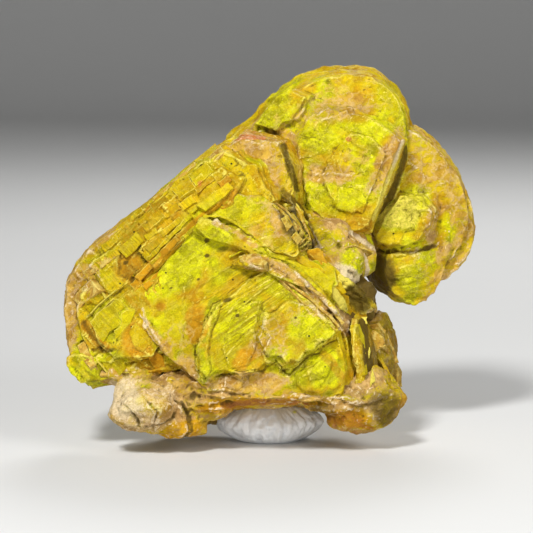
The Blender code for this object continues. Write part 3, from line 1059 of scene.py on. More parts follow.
@dataclass
class Surface:
    """The points of a closed mesh, worked on as arrays in millimetres."""

    thing: bpy.types.Object
    shells: bool = False
    points: Array = field(init=False)
    normals: Array = field(init=False)
    edges: Array = field(init=False)

    def __post_init__(self) -> None:
        """Drops the sealed voids inside the mesh unless it is made of shells, then reads it."""
        self._read()
        if not self.shells:
            self._keep_largest_shell()
            self._read()

    def _read(self) -> None:
        """Takes the mesh's points, normals and edges."""
        mesh = self.thing.data
        self.points = np.empty(len(mesh.vertices) * 3)
        mesh.vertices.foreach_get("co", self.points)
        self.points = self.points.reshape(-1, 3)
        self.edges = np.empty(len(mesh.edges) * 2, np.int64)
        mesh.edges.foreach_get("vertices", self.edges)
        self.edges = self.edges.reshape(-1, 2)
        self.read_normals()

    def read_normals(self) -> None:
        """Takes the mesh's point normals."""
        self.normals = np.empty(len(self.thing.data.vertices) * 3)
        self.thing.data.vertices.foreach_get("normal", self.normals)
        self.normals = self.normals.reshape(-1, 3)

    def _keep_largest_shell(self) -> None:
        """Removes every closed shell but the one with the most points."""
        label = np.arange(len(self.points))
        a, b = self.edges.T
        while True:
            low = np.minimum(label[a], label[b])
            new = label.copy()
            np.minimum.at(new, a, low)
            np.minimum.at(new, b, low)
            new = new[new]
            if np.array_equal(new, label):
                break
            label = new
        names, counts = np.unique(label, return_counts=True)
        if len(names) == 1:
            return
        spare = np.flatnonzero(label != names[counts.argmax()])
        bm = bmesh.new()
        bm.from_mesh(self.thing.data)
        bm.verts.ensure_lookup_table()
        bmesh.ops.delete(bm, geom=[bm.verts[i] for i in spare], context="VERTS")
        bm.to_mesh(self.thing.data)
        bm.free()

    def write(self) -> None:
        """Puts the points back in the mesh."""
        self.thing.data.vertices.foreach_set("co", self.points.ravel())
        self.thing.data.update()
        self.read_normals()

    def averaged(self, values: Array, rounds: int) -> Array:
        """Blurs values, or points, over the surface.

        Args:
            values: One value, or one row, for each point.
            rounds: How many times each point takes its neighbours' average.

        Returns:
            The blurred values.
        """
        rows = values.reshape(len(self.points), -1)
        a, b = self.edges.T
        count = np.bincount(self.edges.ravel(), minlength=len(rows))[:, None] + 1.0
        for _ in range(rounds):
            total = rows.copy()
            for column in range(rows.shape[1]):
                total[:, column] += np.bincount(a, rows[b, column], len(rows))
                total[:, column] += np.bincount(b, rows[a, column], len(rows))
            rows = total / count
        return rows.reshape(values.shape)

    def facing_front(self, low: float, high: float) -> Array:
        """Rises from 0 to 1 as a point's normal turns towards the drawing's front."""
        return ramp(-(self.normals @ np.array(DRAWING.inward)), low, high)

    def standing_out(self, rounds: int) -> Array:
        """How far each point stands out of the surface round it, which is below 0 where the surface dips
        in.
        """
        return np.einsum("ij,ij->i", self.points - self.averaged(self.points, rounds), self.normals)

    def name_values(self, name: str, values: Array) -> None:
        """Stores one value for each point under a name that a finish can read."""
        layer = self.thing.data.attributes.new(name, "FLOAT", "POINT")
        layer.data.foreach_set("value", values.astype(np.float32))

    def named_values(self, name: str) -> Array:
        """Reads the values stored under a name.

        Args:
            name: The name.

        Returns:
            One value for each point.
        """
        values = np.empty(len(self.points), np.float32)
        self.thing.data.attributes[name].data.foreach_get("value", values)
        return values.astype(np.float64)


@dataclass
class Growth:
    """One part of the cluster: its books, lumps and stains, grown into one closed surface.

    The swells are its rough fields. A pair such as ridge is where a share starts and where it is full,
    and rounds is how widely the surface is blurred to find it.
    """

    name: str = "growth"
    books: Books = ()
    lumps: tuple[Lump, ...] = ()
    stains: Marks = ()
    reliefs: Reliefs = ()
    cleavage: Cleavage = Cleavage()
    grain: float = 0.09
    seed: int = 1
    warp: float = 0.12
    sway: Swell = Swell(2.6, 3)
    stray: Swell = Swell(1.1, 3)
    grit: Swell = Swell(0.4, 2, 0.03)
    sheet_grit: Swell = Swell(0.5, 2, 0.5)
    lumpy: tuple[Swell, ...] = (Swell(1.3, 4, 0.20), Swell(0.35, 2, 0.05))
    pits: tuple[Swell, ...] = (Swell(0.8, 3, 0.16), Swell(0.42, 2, 0.11))
    fray: Swell = Swell(0.9, 3)
    wild_lime: Swell = Swell(2.4, 3)
    wild_orange: Swell = Swell(1.9, 3)
    wild_tan: Swell = Swell(1.5, 4)
    edge_highlight_patchiness: Swell = Swell(1.0, 2)
    lime_share: float = 0.45
    crusted: float = 0.3
    tan_crust: float = 0.65
    settled: float = 0.75
    strongest: float = 0.85
    over_crust: tuple[tuple[Stain, float], ...] = ((LIME, 0.6), (ORANGE, 0.8), (COMBED, 0.7))
    quick_grain: float = 1.7
    seen_from: Point = (-0.35, 0.15)
    relief_from: Point = (0.2, 0.5)
    # ridge, groove and the fields after them find the sharp edges that get a painted highlight and the dips
    # that get painted shade.
    ridge_rounds: int = 3
    ridge: Point = (0.008, 0.032)
    groove_rounds: int = 4
    groove: Point = (0.010, 0.045)
    groove_share: float = 0.75
    hollow_rounds: int = 14
    hollow_shade: Point = (0.02, 0.16)

    def build(self) -> bpy.types.Object:
        """Grows the part.

        Returns:
            The part as one mesh object, in metres.
        """
        heap, cutter = Heap(), LeafCutter()
        for book in self.gather():
            cutter.cut(book, heap)
        for lump in self.lumps:
            heap.add(lump.pebble(), lump.frame())
        thing = heap.fuse(self.name, self.grain * (1.0))
        surface = Surface(thing)
        crust = self._crust(surface)
        tone = self._carve(surface, crust)
        surface.name_values("tone", tone)
        # Sharp edges, which the stains pale as a painted highlight.
        ridge = ramp(surface.standing_out(self.ridge_rounds), *self.ridge)
        self._stain(surface, crust, ridge, {})
        surface.points *= METRES_PER_MM
        surface.write()
        thing.data.shade_smooth()
        return thing

    def gather(self) -> list[Book]:
        """The part's books."""
        return list(self.books)

    def _crust(self, surface: Surface) -> Array:
        """Finds the crust: the lumps, and to some extent the tan stains.

        Args:
            surface: The fused surface.

        Returns:
            How far each point is crust and not a leaf, from 0 to 1.
        """
        crust = np.zeros(len(surface.points))
        for lump in self.lumps:
            back = np.array(lump.frame().inverted())
            local = (surface.points @ back[:3, :3].T + back[:3, 3]) / np.array(lump.radii)
            crust = np.maximum(crust, 1.0 - ramp(np.linalg.norm(local, axis=1), 1.0, 1.3))
        seen, front = self._seen(surface)
        for stain in self.stains:
            if stain.stain is TAN:
                crust = np.maximum(crust, self.tan_crust * stain.weigh(seen) * front)
        return crust

    def _seen(self, surface: Surface) -> tuple[Sight, Array]:
        """How the drawing shows a surface's points, and how far each faces it."""
        stray = self.fray.over(surface.points, self.seed + STAIN_SEED)
        return Sight(*DRAWING.read(surface.points), stray), surface.facing_front(*self.seen_from)

    def _carve(self, surface: Surface, crust: Array) -> Array:
        """Gives the fused surface its warps, cleavage stairs, sheets and grit.

        Args:
            surface: The surface, whose points this moves.
            crust: How far each point belongs to crust.

        Returns:
            A tone from 0 to 1 for each point, the same all over one brick.
        """
        points, cut, chance = surface.points, self.cleavage, Field(self.seed)
        axes = cut.axes()
        facing = surface.averaged(surface.normals, 2) @ axes[2]
        face = ramp(np.abs(facing), *cut.face_from) * (1.0 - crust)
        side = (1.0 - ramp(np.abs(facing), *cut.side_from)) * (1.0 - crust)
        place = np.stack([points @ axis for axis in axes])
        place[0] += cut.back_shift * (facing < 0)
        stray = self.stray.over(points, self.seed)
        rise = cut.stairs(place, stray, chance) + self.grit.over(points, self.seed)
        rise += cut.scattered(place, stray, self.seed)
        run = place * np.array((cut.sheet_run, cut.sheet_run, 1.0))[:, None]
        sheets = chance.smooth(run.T, cut.sheet / 2) + self.sheet_grit.over(points, self.seed)
        lumpy = sum(swell.over(points, self.seed) for swell in self.lumpy)
        lumpy -= sum(np.abs(swell.over(points, self.seed)) for swell in self.pits)
        seen = Sight(*DRAWING.read(points), stray)
        placed = sum((relief.rises(seen) for relief in self.reliefs), np.zeros(len(points)))
        placed *= surface.facing_front(*self.relief_from)
        moved = face * rise + side * cut.sheet_rise * sheets + crust * lumpy + placed
        sway = np.stack([self.sway.over(points, self.seed + SWAY_SEED + k) for k in range(3)], axis=1)
        surface.points = points + surface.normals * moved[:, None] + sway * self.warp
        surface.write()
        return 0.5 + (0.5 * rise / (cut.brick_rise + cut.flake_rise)).clip(-0.5, 0.5)

    def _stain(self, surface: Surface, crust: Array, ridge: Array, own: dict[Stain, Array]) -> None:
        """Works out and stores every stain's strength at each point, with painted shade in grooves and dips
        and painted highlights on sharp edges.

        Args:
            surface: The carved surface.
            crust: How far each point belongs to crust.
            ridge: How far each point lies on a sharp edge, which gets a painted highlight.
            own: The strengths that the points bring with them.
        """
        points, chance = surface.points, self.seed + STAIN_SEED
        seen, front = self._seen(surface)
        # Painted shade: grooves and wider dips in the surface are darkened as if in shadow.
        groove = self.groove_share * ramp(-surface.standing_out(self.groove_rounds), *self.groove)
        hollow_shade = np.maximum(ramp(-surface.standing_out(self.hollow_rounds), *self.hollow_shade), groove)
        weights = {stain: own.get(stain, np.zeros(len(points))) for stain in Stain}
        for stain in self.stains:
            kind = weights[stain.stain]
            np.maximum(kind, stain.weigh(seen) * front, out=kind)
        free = 1.0 - self.settled * np.clip(sum(weights.values()), 0.0, 1.0)
        wild = {
            LIME: ramp(self.wild_lime.over(points, chance) + self.lime_share, 0.30, 0.75),
            ORANGE: 0.6 * ramp(self.wild_orange.over(points, chance + 1), 0.10, 0.45),
            TAN: self.crusted * ramp(self.wild_tan.over(points, chance + 2), -0.15, 0.30),
        }
        for stain, amount in wild.items():
            weights[stain] = np.maximum(weights[stain], amount * free)
        other = sum(share * weights[stain] for stain, share in self.over_crust)
        # Painted highlight: sharp edges are paled, partly as pale broken edges and partly as light catching
        # them, more in some places than others.
        edge_highlight_patchiness = ramp(self.edge_highlight_patchiness.over(points, chance + 3), -0.25, 0.35)
        raised = {
            TAN: crust * (1.0 - np.clip(other, 0.0, 0.9)),
            CREAM_AND_HIGHLIGHT: ridge * (0.35 + 0.65 * edge_highlight_patchiness),
            DARK: hollow_shade * (1.0 - ridge),
        }
        for stain, amount in raised.items():
            weights[stain] = np.maximum(weights[stain], self.strongest * amount)
        for stain, amount in weights.items():
            surface.name_values(stain.value, np.clip(amount, 0.0, 1.0))
        surface.name_values("crust", crust)

    def dress(self, thing: bpy.types.Object) -> None:
        """Gives the part its finish and its place in the frame.

        Args:
            thing: The part.
        """
        CrystalFinish(f"{self.name}_finish", self.cleavage).apply(thing)
        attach(thing, "root")
        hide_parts("crystal_cluster")


@dataclass
class Slates(Growth):
    """Crisp plates that lie on other parts, each a closed shell of its own."""

    plates: Plates = ()
    ground: tuple[str, ...] = ()
    grit: Swell = Swell(0.45, 3, 0.012)
    own_stain: float = 0.85
    own_lime: float = 0.5
    side_shade: float = 0.5
    light_side: Point = (-0.64, 0.77)
    unlit_rim: float = 0.3
    lit_from: Point = (-0.1, 0.5)
    shaded_from: Point = (0.15, 0.6)
    sharp_from: float = math.radians(40)

    def build(self) -> bpy.types.Object:
        """Cuts the plates.

        Returns:
            The plates as one mesh object, in metres.
        """
        cutter, heap, ground = SlateCutter(), Heap(), Ground(self.ground)
        for name in ("rim", "plate"):
            heap.bm.verts.layers.float.new(name)
        for k, plate in enumerate(self.plates):
            bm, place = cutter.slate(plate.laid(f"{self.name}_{k}", ground), self.seed)
            number = bm.verts.layers.float.new("plate")
            for vertex in bm.verts:
                vertex[number] = k
            heap.add(bm, place)
        thing = linked(self.name, meshed(self.name, heap.bm))
        self._finish_edges(Surface(thing, shells=True))
        thing.data.shade_smooth()
        thing.data.set_sharp_from_angle(angle=self.sharp_from)
        return thing

    def _finish_edges(self, surface: Surface) -> None:
        """Roughens the plates a little, stains them, paints highlights on the edges that face the light and
        shade on the sides turned from it, and brings them to metres.

        Args:
            surface: The plates, whose points this moves.
        """
        numbers = surface.named_values("plate").round().astype(int)
        # Painted highlight: plate edges that face the light side are paled more than the others.
        lit = surface.normals[:, 0] * self.light_side[0] + surface.normals[:, 2] * self.light_side[1]
        glow = self.unlit_rim + (1.0 - self.unlit_rim) * ramp(lit, *self.lit_from)
        lit_rims = surface.named_values("rim") * glow
        surface.points += surface.normals * self.grit.over(surface.points, self.seed)[:, None]
        surface.write()
        own = {}
        for stain in Stain:
            strength = self.own_lime if stain is LIME else self.own_stain
            own[stain] = np.array([strength * (plate.stain is stain) for plate in self.plates])[numbers]
        # Painted shade: sides turned away from the light are darkened.
        own[DARK] = np.maximum(own[DARK], self.side_shade * ramp(-lit, *self.shaded_from))
        surface.name_values("tone", np.array([plate.tone for plate in self.plates])[numbers])
        self._stain(surface, np.zeros(len(lit_rims)), lit_rims, own)
        surface.points *= METRES_PER_MM
        surface.write()


# ---- Finishes ----


Colour = tuple[float, float, float]
BUMP_REACH = 0.06 * METRES_PER_MM


@dataclass(frozen=True)
class Signal:
    """A value, colour or vector on its way through a finish's nodes."""

    shader: "Shader"
    socket: bpy.types.NodeSocket

    def _join(self, operation: str, left: Any, right: Any) -> "Signal":
        """Adds the node that works out one operation.

        Args:
            operation: The operation's name.
            left: The first term.
            right: The second term.

        Returns:
            The result.
        """
        plain = all(isinstance(t, (int, float)) or getattr(t, "number", False) for t in (left, right))
        kind = "ShaderNodeMath" if plain else "ShaderNodeVectorMath"
        return self.shader.node(kind, {"operation": operation}, {0: left, 1: right})

    @property
    def number(self) -> bool:
        """Whether this is a single number and no colour or vector."""
        return self.socket.type == "VALUE"

    def __add__(self, other: Any) -> "Signal":
        """self + other"""
        return self._join("ADD", self, other)

    def __radd__(self, other: Any) -> "Signal":
        """other + self"""
        return self._join("ADD", other, self)

    def __sub__(self, other: Any) -> "Signal":
        """self - other"""
        return self._join("SUBTRACT", self, other)

    def __rsub__(self, other: Any) -> "Signal":
        """other - self"""
        return self._join("SUBTRACT", other, self)

    def __mul__(self, other: Any) -> "Signal":
        """self * other"""
        return self._join("MULTIPLY", self, other)

    def __rmul__(self, other: Any) -> "Signal":
        """other * self"""
        return self._join("MULTIPLY", other, self)

    def dot(self, direction: Sequence[float]) -> "Signal":
        """The vector's length along a direction."""
        made = self._join("DOT_PRODUCT", self, direction)
        return Signal(self.shader, made.socket.node.outputs["Value"])

    def ramp(self, low: float, high: float) -> "Signal":
        """Rises smoothly from 0 at low to 1 at high."""
        inputs = {"Value": self, "From Min": low, "From Max": high}
        return self.shader.node("ShaderNodeMapRange", {"interpolation_type": "SMOOTHSTEP"}, inputs)


@dataclass
class Shader:
    """A material's node tree, and the one way to add a node to it."""

    name: str
    material: bpy.types.Material = field(init=False)

    def __post_init__(self) -> None:
        """Makes the material."""
        self.material = bpy.data.materials.new(self.name)
        self.material.use_nodes = True

    @property
    def tree(self) -> bpy.types.NodeTree:
        """The material's node tree."""
        return self.material.node_tree

    @property
    def surface(self) -> bpy.types.Node:
        """The Principled shader."""
        return self.tree.nodes["Principled BSDF"]

    def feed(self, target: bpy.types.NodeSocket, value: Any) -> None:
        """Sets or links a socket.

        Args:
            target: The socket.
            value: A signal to link, or a number, colour or vector to set.
        """
        if isinstance(value, Signal):
            self.tree.links.new(value.socket, target)
        elif target.type == "RGBA" and len(value) == 3:
            target.default_value = (*value, 1.0)
        elif target.type == "VECTOR" and isinstance(value, (int, float)):
            target.default_value = (value, value, value)
        else:
            target.default_value = value

    def node(self, kind: str, settings: dict[str, Any], inputs: dict[Any, Any]) -> Signal:
        """Adds a node.

        Args:
            kind: The node's type.
            settings: The node's own properties, which are set first.
            inputs: The values or signals of its sockets, by name or number.

        Returns:
            The node's first output that is in use.
        """
        made = self.tree.nodes.new(kind)
        for key, value in settings.items():
            setattr(made, key, value)
        for key, value in inputs.items():
            self.feed(made.inputs[key], value)
        return Signal(self, next(s for s in made.outputs if s.enabled))

    def mix(self, first: Any, second: Any, share: Any) -> Signal:
        """Blends two colours: first where share is 0, second where it is 1."""
        return self.node("ShaderNodeMix", {"data_type": "RGBA"}, {0: share, 6: first, 7: second})

    def named(self, name: str) -> Signal:
        """A value stored on the mesh."""
        made = self.node("ShaderNodeAttribute", {"attribute_name": name}, {})
        return Signal(self, made.socket.node.outputs["Fac"])

    def place(self) -> Signal:
        """The place on the object, in millimetres."""
        made = self.node("ShaderNodeTexCoord", {}, {})
        return Signal(self, made.socket.node.outputs["Object"]) * (1 / METRES_PER_MM)

    def noise(self, place: Signal, scale: float, detail: float = 3.0, roughness: float = 0.6) -> Signal:
        """A noise value from 0 to 1."""
        inputs = {"Vector": place, "Scale": scale, "Detail": detail, "Roughness": roughness}
        return self.node("ShaderNodeTexNoise", {}, inputs)

    def bumped(self, height: Signal, strength: float) -> Signal:
        """A normal that follows a height of up to BUMP_REACH."""
        inputs = {"Strength": strength, "Distance": BUMP_REACH, "Height": height}
        return self.node("ShaderNodeBump", {}, inputs)

    def joined(self, x: Any, y: Any, z: Any) -> Signal:
        """A vector from its three parts."""
        return self.node("ShaderNodeCombineXYZ", {}, {0: x, 1: y, 2: z})


@dataclass(frozen=True)
class Patterns:
    """The patterns that a crystal finish draws with, each from 0 to 1 but for the fray."""

    grit: Signal
    dust: Signal
    blotch: Signal
    cloud: Signal
    fibre: Signal
    hair: Signal
    cell: Signal
    seam: Signal
    speck: Signal
    fray: Signal


@dataclass(frozen=True)
class CrystalFinish:
    """Uranocircite: pearly yellow-green leaves with orange stains, tan crust and pale broken edges, with
    painted shade in dips and painted highlights on edges.
    """

    name: str
    cleavage: Cleavage
    yellow: Colour = (0.84, 0.62, 0.004)
    gold: Colour = (0.50, 0.27, 0.003)
    lime: Colour = (0.78, 0.76, 0.004)
    olive: Colour = (0.26, 0.22, 0.002)
    furrow: Colour = (0.40, 0.31, 0.003)
    orange: Colour = (0.72, 0.33, 0.010)
    amber: Colour = (0.34, 0.14, 0.004)
    tan: Colour = (0.74, 0.45, 0.075)
    clay: Colour = (0.40, 0.20, 0.035)
    stone: Colour = (0.72, 0.46, 0.17)
    loam: Colour = (0.40, 0.22, 0.07)
    cream_and_highlight: Colour = (0.92, 0.78, 0.12)
    milk: Colour = (0.93, 0.75, 0.46)
    # The darkest brown: dark marks, and also painted shade.
    umber_and_shade: Colour = (0.11, 0.07, 0.010)
    rust: Colour = (0.66, 0.20, 0.06)
    ink: Colour = (0.02, 0.03, 0.01)
    gloss: float = 0.1
    bump: float = 0.8

    def apply(self, thing: bpy.types.Object) -> None:
        """Makes the material and gives it to a piece.

        Args:
            thing: The piece, whose mesh holds the stains' strengths.
        """
        shader = Shader(self.name)
        drawn = self._patterns(shader)
        stains = {kind: shader.named(kind.value) for kind in Stain}
        crust = shader.named("crust")
        surface = shader.surface.inputs
        shader.feed(surface["Base Color"], self._colour(shader, drawn, stains, crust))
        dull = 0.46 + crust * 0.25 + stains[TAN] * 0.15 + (drawn.grit - 0.5) * 0.2
        shader.feed(surface["Roughness"], dull)
        surface["Specular IOR Level"].default_value = self.gloss
        lines = (drawn.fibre * 0.6 + drawn.hair * 0.4) * (0.25 + stains[COMBED] * 0.75) * (1.0 - crust)
        height = lines * 0.6 + drawn.grit * 0.8 + drawn.dust * 0.3 + drawn.seam * 0.3 + drawn.cell * 0.6
        shader.feed(surface["Normal"], shader.bumped(height, self.bump))
        thing.data.materials.clear()
        thing.data.materials.append(shader.material)

    def _patterns(self, shader: Shader) -> Patterns:
        """Draws the patterns.

        Args:
            shader: The material.

        Returns:
            The patterns.
        """
        place = shader.place()
        along, across, outward = (place.dot(tuple(axis)) for axis in self.cleavage.axes())
        sway = shader.noise(place, 0.6, 2.0) * 0.3
        lined = shader.joined(along * 0.22, (across + sway) * 4.5, outward * 2.0)
        haired = shader.joined(along * 0.5, (across + sway) * 12.0, outward * 5.0)
        soft, other = shader.noise(place, 2.6, 3.0), shader.noise(place, 3.1, 3.0)
        crooked = place + shader.joined(soft, other, soft) * 1.1
        netting = {"Vector": crooked, "Scale": 1.25}
        seam = shader.node("ShaderNodeTexVoronoi", {"feature": "DISTANCE_TO_EDGE"}, netting)
        blocky = shader.joined(along * 0.9 + soft * 0.5, across * 1.7 + other * 0.5, outward * 1.7)
        shape = {"Vector": blocky, "Scale": 1.0, "Randomness": 0.85}
        cells = shader.node("ShaderNodeTexVoronoi", {"feature": "F1", "distance": "CHEBYCHEV"}, shape)
        cell = Signal(shader, cells.socket.node.outputs["Color"]).dot((1.0, 0.0, 0.0))
        dots = {"Vector": place, "Scale": 0.75}
        speck = shader.node("ShaderNodeTexVoronoi", {"feature": "F1"}, dots)
        return Patterns(
            grit=shader.noise(crooked, 4.5, 3.0, 0.6).ramp(0.28, 0.72),
            dust=shader.noise(place, 13.0, 2.0, 0.5).ramp(0.25, 0.75),
            blotch=shader.noise(crooked, 1.5, 2.0, 0.5).ramp(0.30, 0.70),
            cloud=shader.noise(place, 0.75, 3.0, 0.55).ramp(0.32, 0.68),
            fibre=shader.noise(lined, 1.0, 4.0, 0.7).ramp(0.34, 0.66),
            hair=shader.noise(haired, 1.0, 2.0, 0.6).ramp(0.36, 0.64),
            cell=cell,
            seam=1.0 - seam.ramp(0.0, 0.14),
            speck=1.0 - speck.ramp(0.030, 0.060),
            fray=(shader.noise(crooked, 2.8, 3.0, 0.6) - 0.5) * 1.1,
        )

    def _colour(
        self, shader: Shader, drawn: Patterns, stains: dict[Stain, Signal], crust: Signal
    ) -> Signal:
        """Lays the colours over each other.

        Args:
            shader: The material.
            drawn: The patterns.
            stains: Each stain's strength.
            crust: How far the surface is crust.

        Returns:
            The colour.
        """
        tone = shader.named("tone")
        grain = drawn.grit * 0.5 + drawn.dust * 0.5
        lines = (drawn.fibre * 0.6 + drawn.hair * 0.4).ramp(0.28, 0.72)
        golden = drawn.blotch * 0.25 + drawn.cloud * 0.2 + tone * 0.55 + drawn.cell * 0.35
        colour = shader.mix(self.yellow, self.gold, golden.ramp(0.28, 0.98))
        dulled = 1.0 - drawn.blotch * 0.45 - grain * 0.2 - drawn.cell * 0.35
        green = shader.mix(self.lime, self.olive, dulled.ramp(0.18, 0.98) * 0.85)
        colour = shader.mix(colour, green, (stains[LIME] + drawn.fray * 0.6).ramp(0.05, 0.95))
        between = (1.0 - lines) * (0.16 + stains[COMBED] * 0.72)
        colour = shader.mix(colour, self.furrow, between)
        deeper = (drawn.blotch * 0.4 + grain * 0.3 + tone * 0.3).ramp(0.3, 0.9)
        warm = shader.mix(self.orange, self.amber, deeper)
        colour = shader.mix(colour, warm, (stains[ORANGE] + drawn.fray * 0.5).ramp(0.10, 1.0) * 0.85)
        stony = crust.ramp(0.75, 1.0)
        lit, dim = shader.mix(self.tan, self.stone, stony), shader.mix(self.clay, self.loam, stony)
        earth = shader.mix(lit, dim, (drawn.blotch * 0.5 + grain * 0.4 + drawn.cell * 0.2).ramp(0.30, 0.9))
        holes = (1.0 - drawn.cell) * 0.3 + drawn.blotch * 0.15
        crusted = (stains[TAN] * 1.15 + drawn.seam * 0.2 + drawn.fray * 0.8 - holes).ramp(0.20, 0.85)
        colour = shader.mix(colour, earth, crusted * 0.92)
        colour = shader.mix(colour, self.rust, (stains[RUST] + drawn.fray * 0.7).ramp(0.35, 0.9) * 0.85)
        pale = shader.mix(self.cream_and_highlight, self.milk, (crust + stains[TAN] * 0.4).ramp(0.1, 0.8))
        web = drawn.seam * (0.15 + stains[TAN] * 0.45) * (1.0 - crust)
        colour = shader.mix(colour, pale, web)
        # Pale broken edges, and painted highlights on edges.
        pale_edge_and_highlight = (stains[CREAM_AND_HIGHLIGHT] + (drawn.grit - 0.5) * 0.5).ramp(0.20, 0.90)
        colour = shader.mix(colour, pale, pale_edge_and_highlight * 0.9)
        # Dark marks, and painted shade in dips, cracks and shadowed places.
        colour = shader.mix(colour, self.umber_and_shade, (stains[DARK] + drawn.fray * 0.5).ramp(0.18, 0.9) * 0.92)
        colour = shader.mix(colour, self.ink, drawn.speck * (1.0 - crust) * (1.0 - stains[TAN]))
        return colour * (0.64 + grain * 0.30 + drawn.cell * 0.14)


@dataclass(frozen=True)
class PuttyFinish:
    """Soft white mounting putty, darkened in its creases as painted shade, a little unevenly."""

    name: str = "putty_finish"
    white: Colour = (0.95, 0.96, 0.97)
    # The colour of the painted shade in the creases.
    shade_grey: Colour = (0.50, 0.51, 0.52)
    crumb: Colour = (0.70, 0.72, 0.08)
    bump: float = 0.5

    def apply(self, thing: bpy.types.Object) -> None:
        """Makes the material and gives it to the pad.

        Args:
            thing: The pad, whose mesh holds its creases' depth.
        """
        shader = Shader(self.name)
        place = shader.place()
        cloud = shader.noise(place, 1.6, 4.0)
        grit = shader.noise(place, 9.0, 3.0)
        # Painted shade: darker in the creases, a little unevenly.
        crease_shade = (shader.named("crease") + (cloud - 0.5) * 0.5).ramp(0.15, 0.95)
        colour = shader.mix(self.white, self.shade_grey, crease_shade * 0.8)
        colour = shader.mix(colour, self.crumb, shader.named("crumb"))
        shader.feed(shader.surface.inputs["Base Color"], colour * (0.90 + grit * 0.16))
        shader.feed(shader.surface.inputs["Roughness"], 0.5 + cloud * 0.3)
        shader.feed(shader.surface.inputs["Normal"], shader.bumped(cloud + grit * 0.6, self.bump))
        thing.data.materials.clear()
        thing.data.materials.append(shader.material)


@dataclass(frozen=True)
class FloorFinish:
    """The studio's pale matt sweep."""

    name: str = "sweep_finish"
    light: Colour = (0.74, 0.74, 0.73)
    shade: Colour = (0.70, 0.70, 0.69)
    dull: float = 0.8

    def apply(self, thing: bpy.types.Object) -> None:
        """Makes the material and gives it to the sweep.

        Args:
            thing: The sweep.
        """
        shader = Shader(self.name)
        cloud = shader.noise(shader.place(), 0.02, 3.0)
        shader.feed(shader.surface.inputs["Base Color"], shader.mix(self.light, self.shade, cloud))
        shader.surface.inputs["Roughness"].default_value = self.dull
        thing.data.materials.append(shader.material)


# ---- The parts of the cluster ----


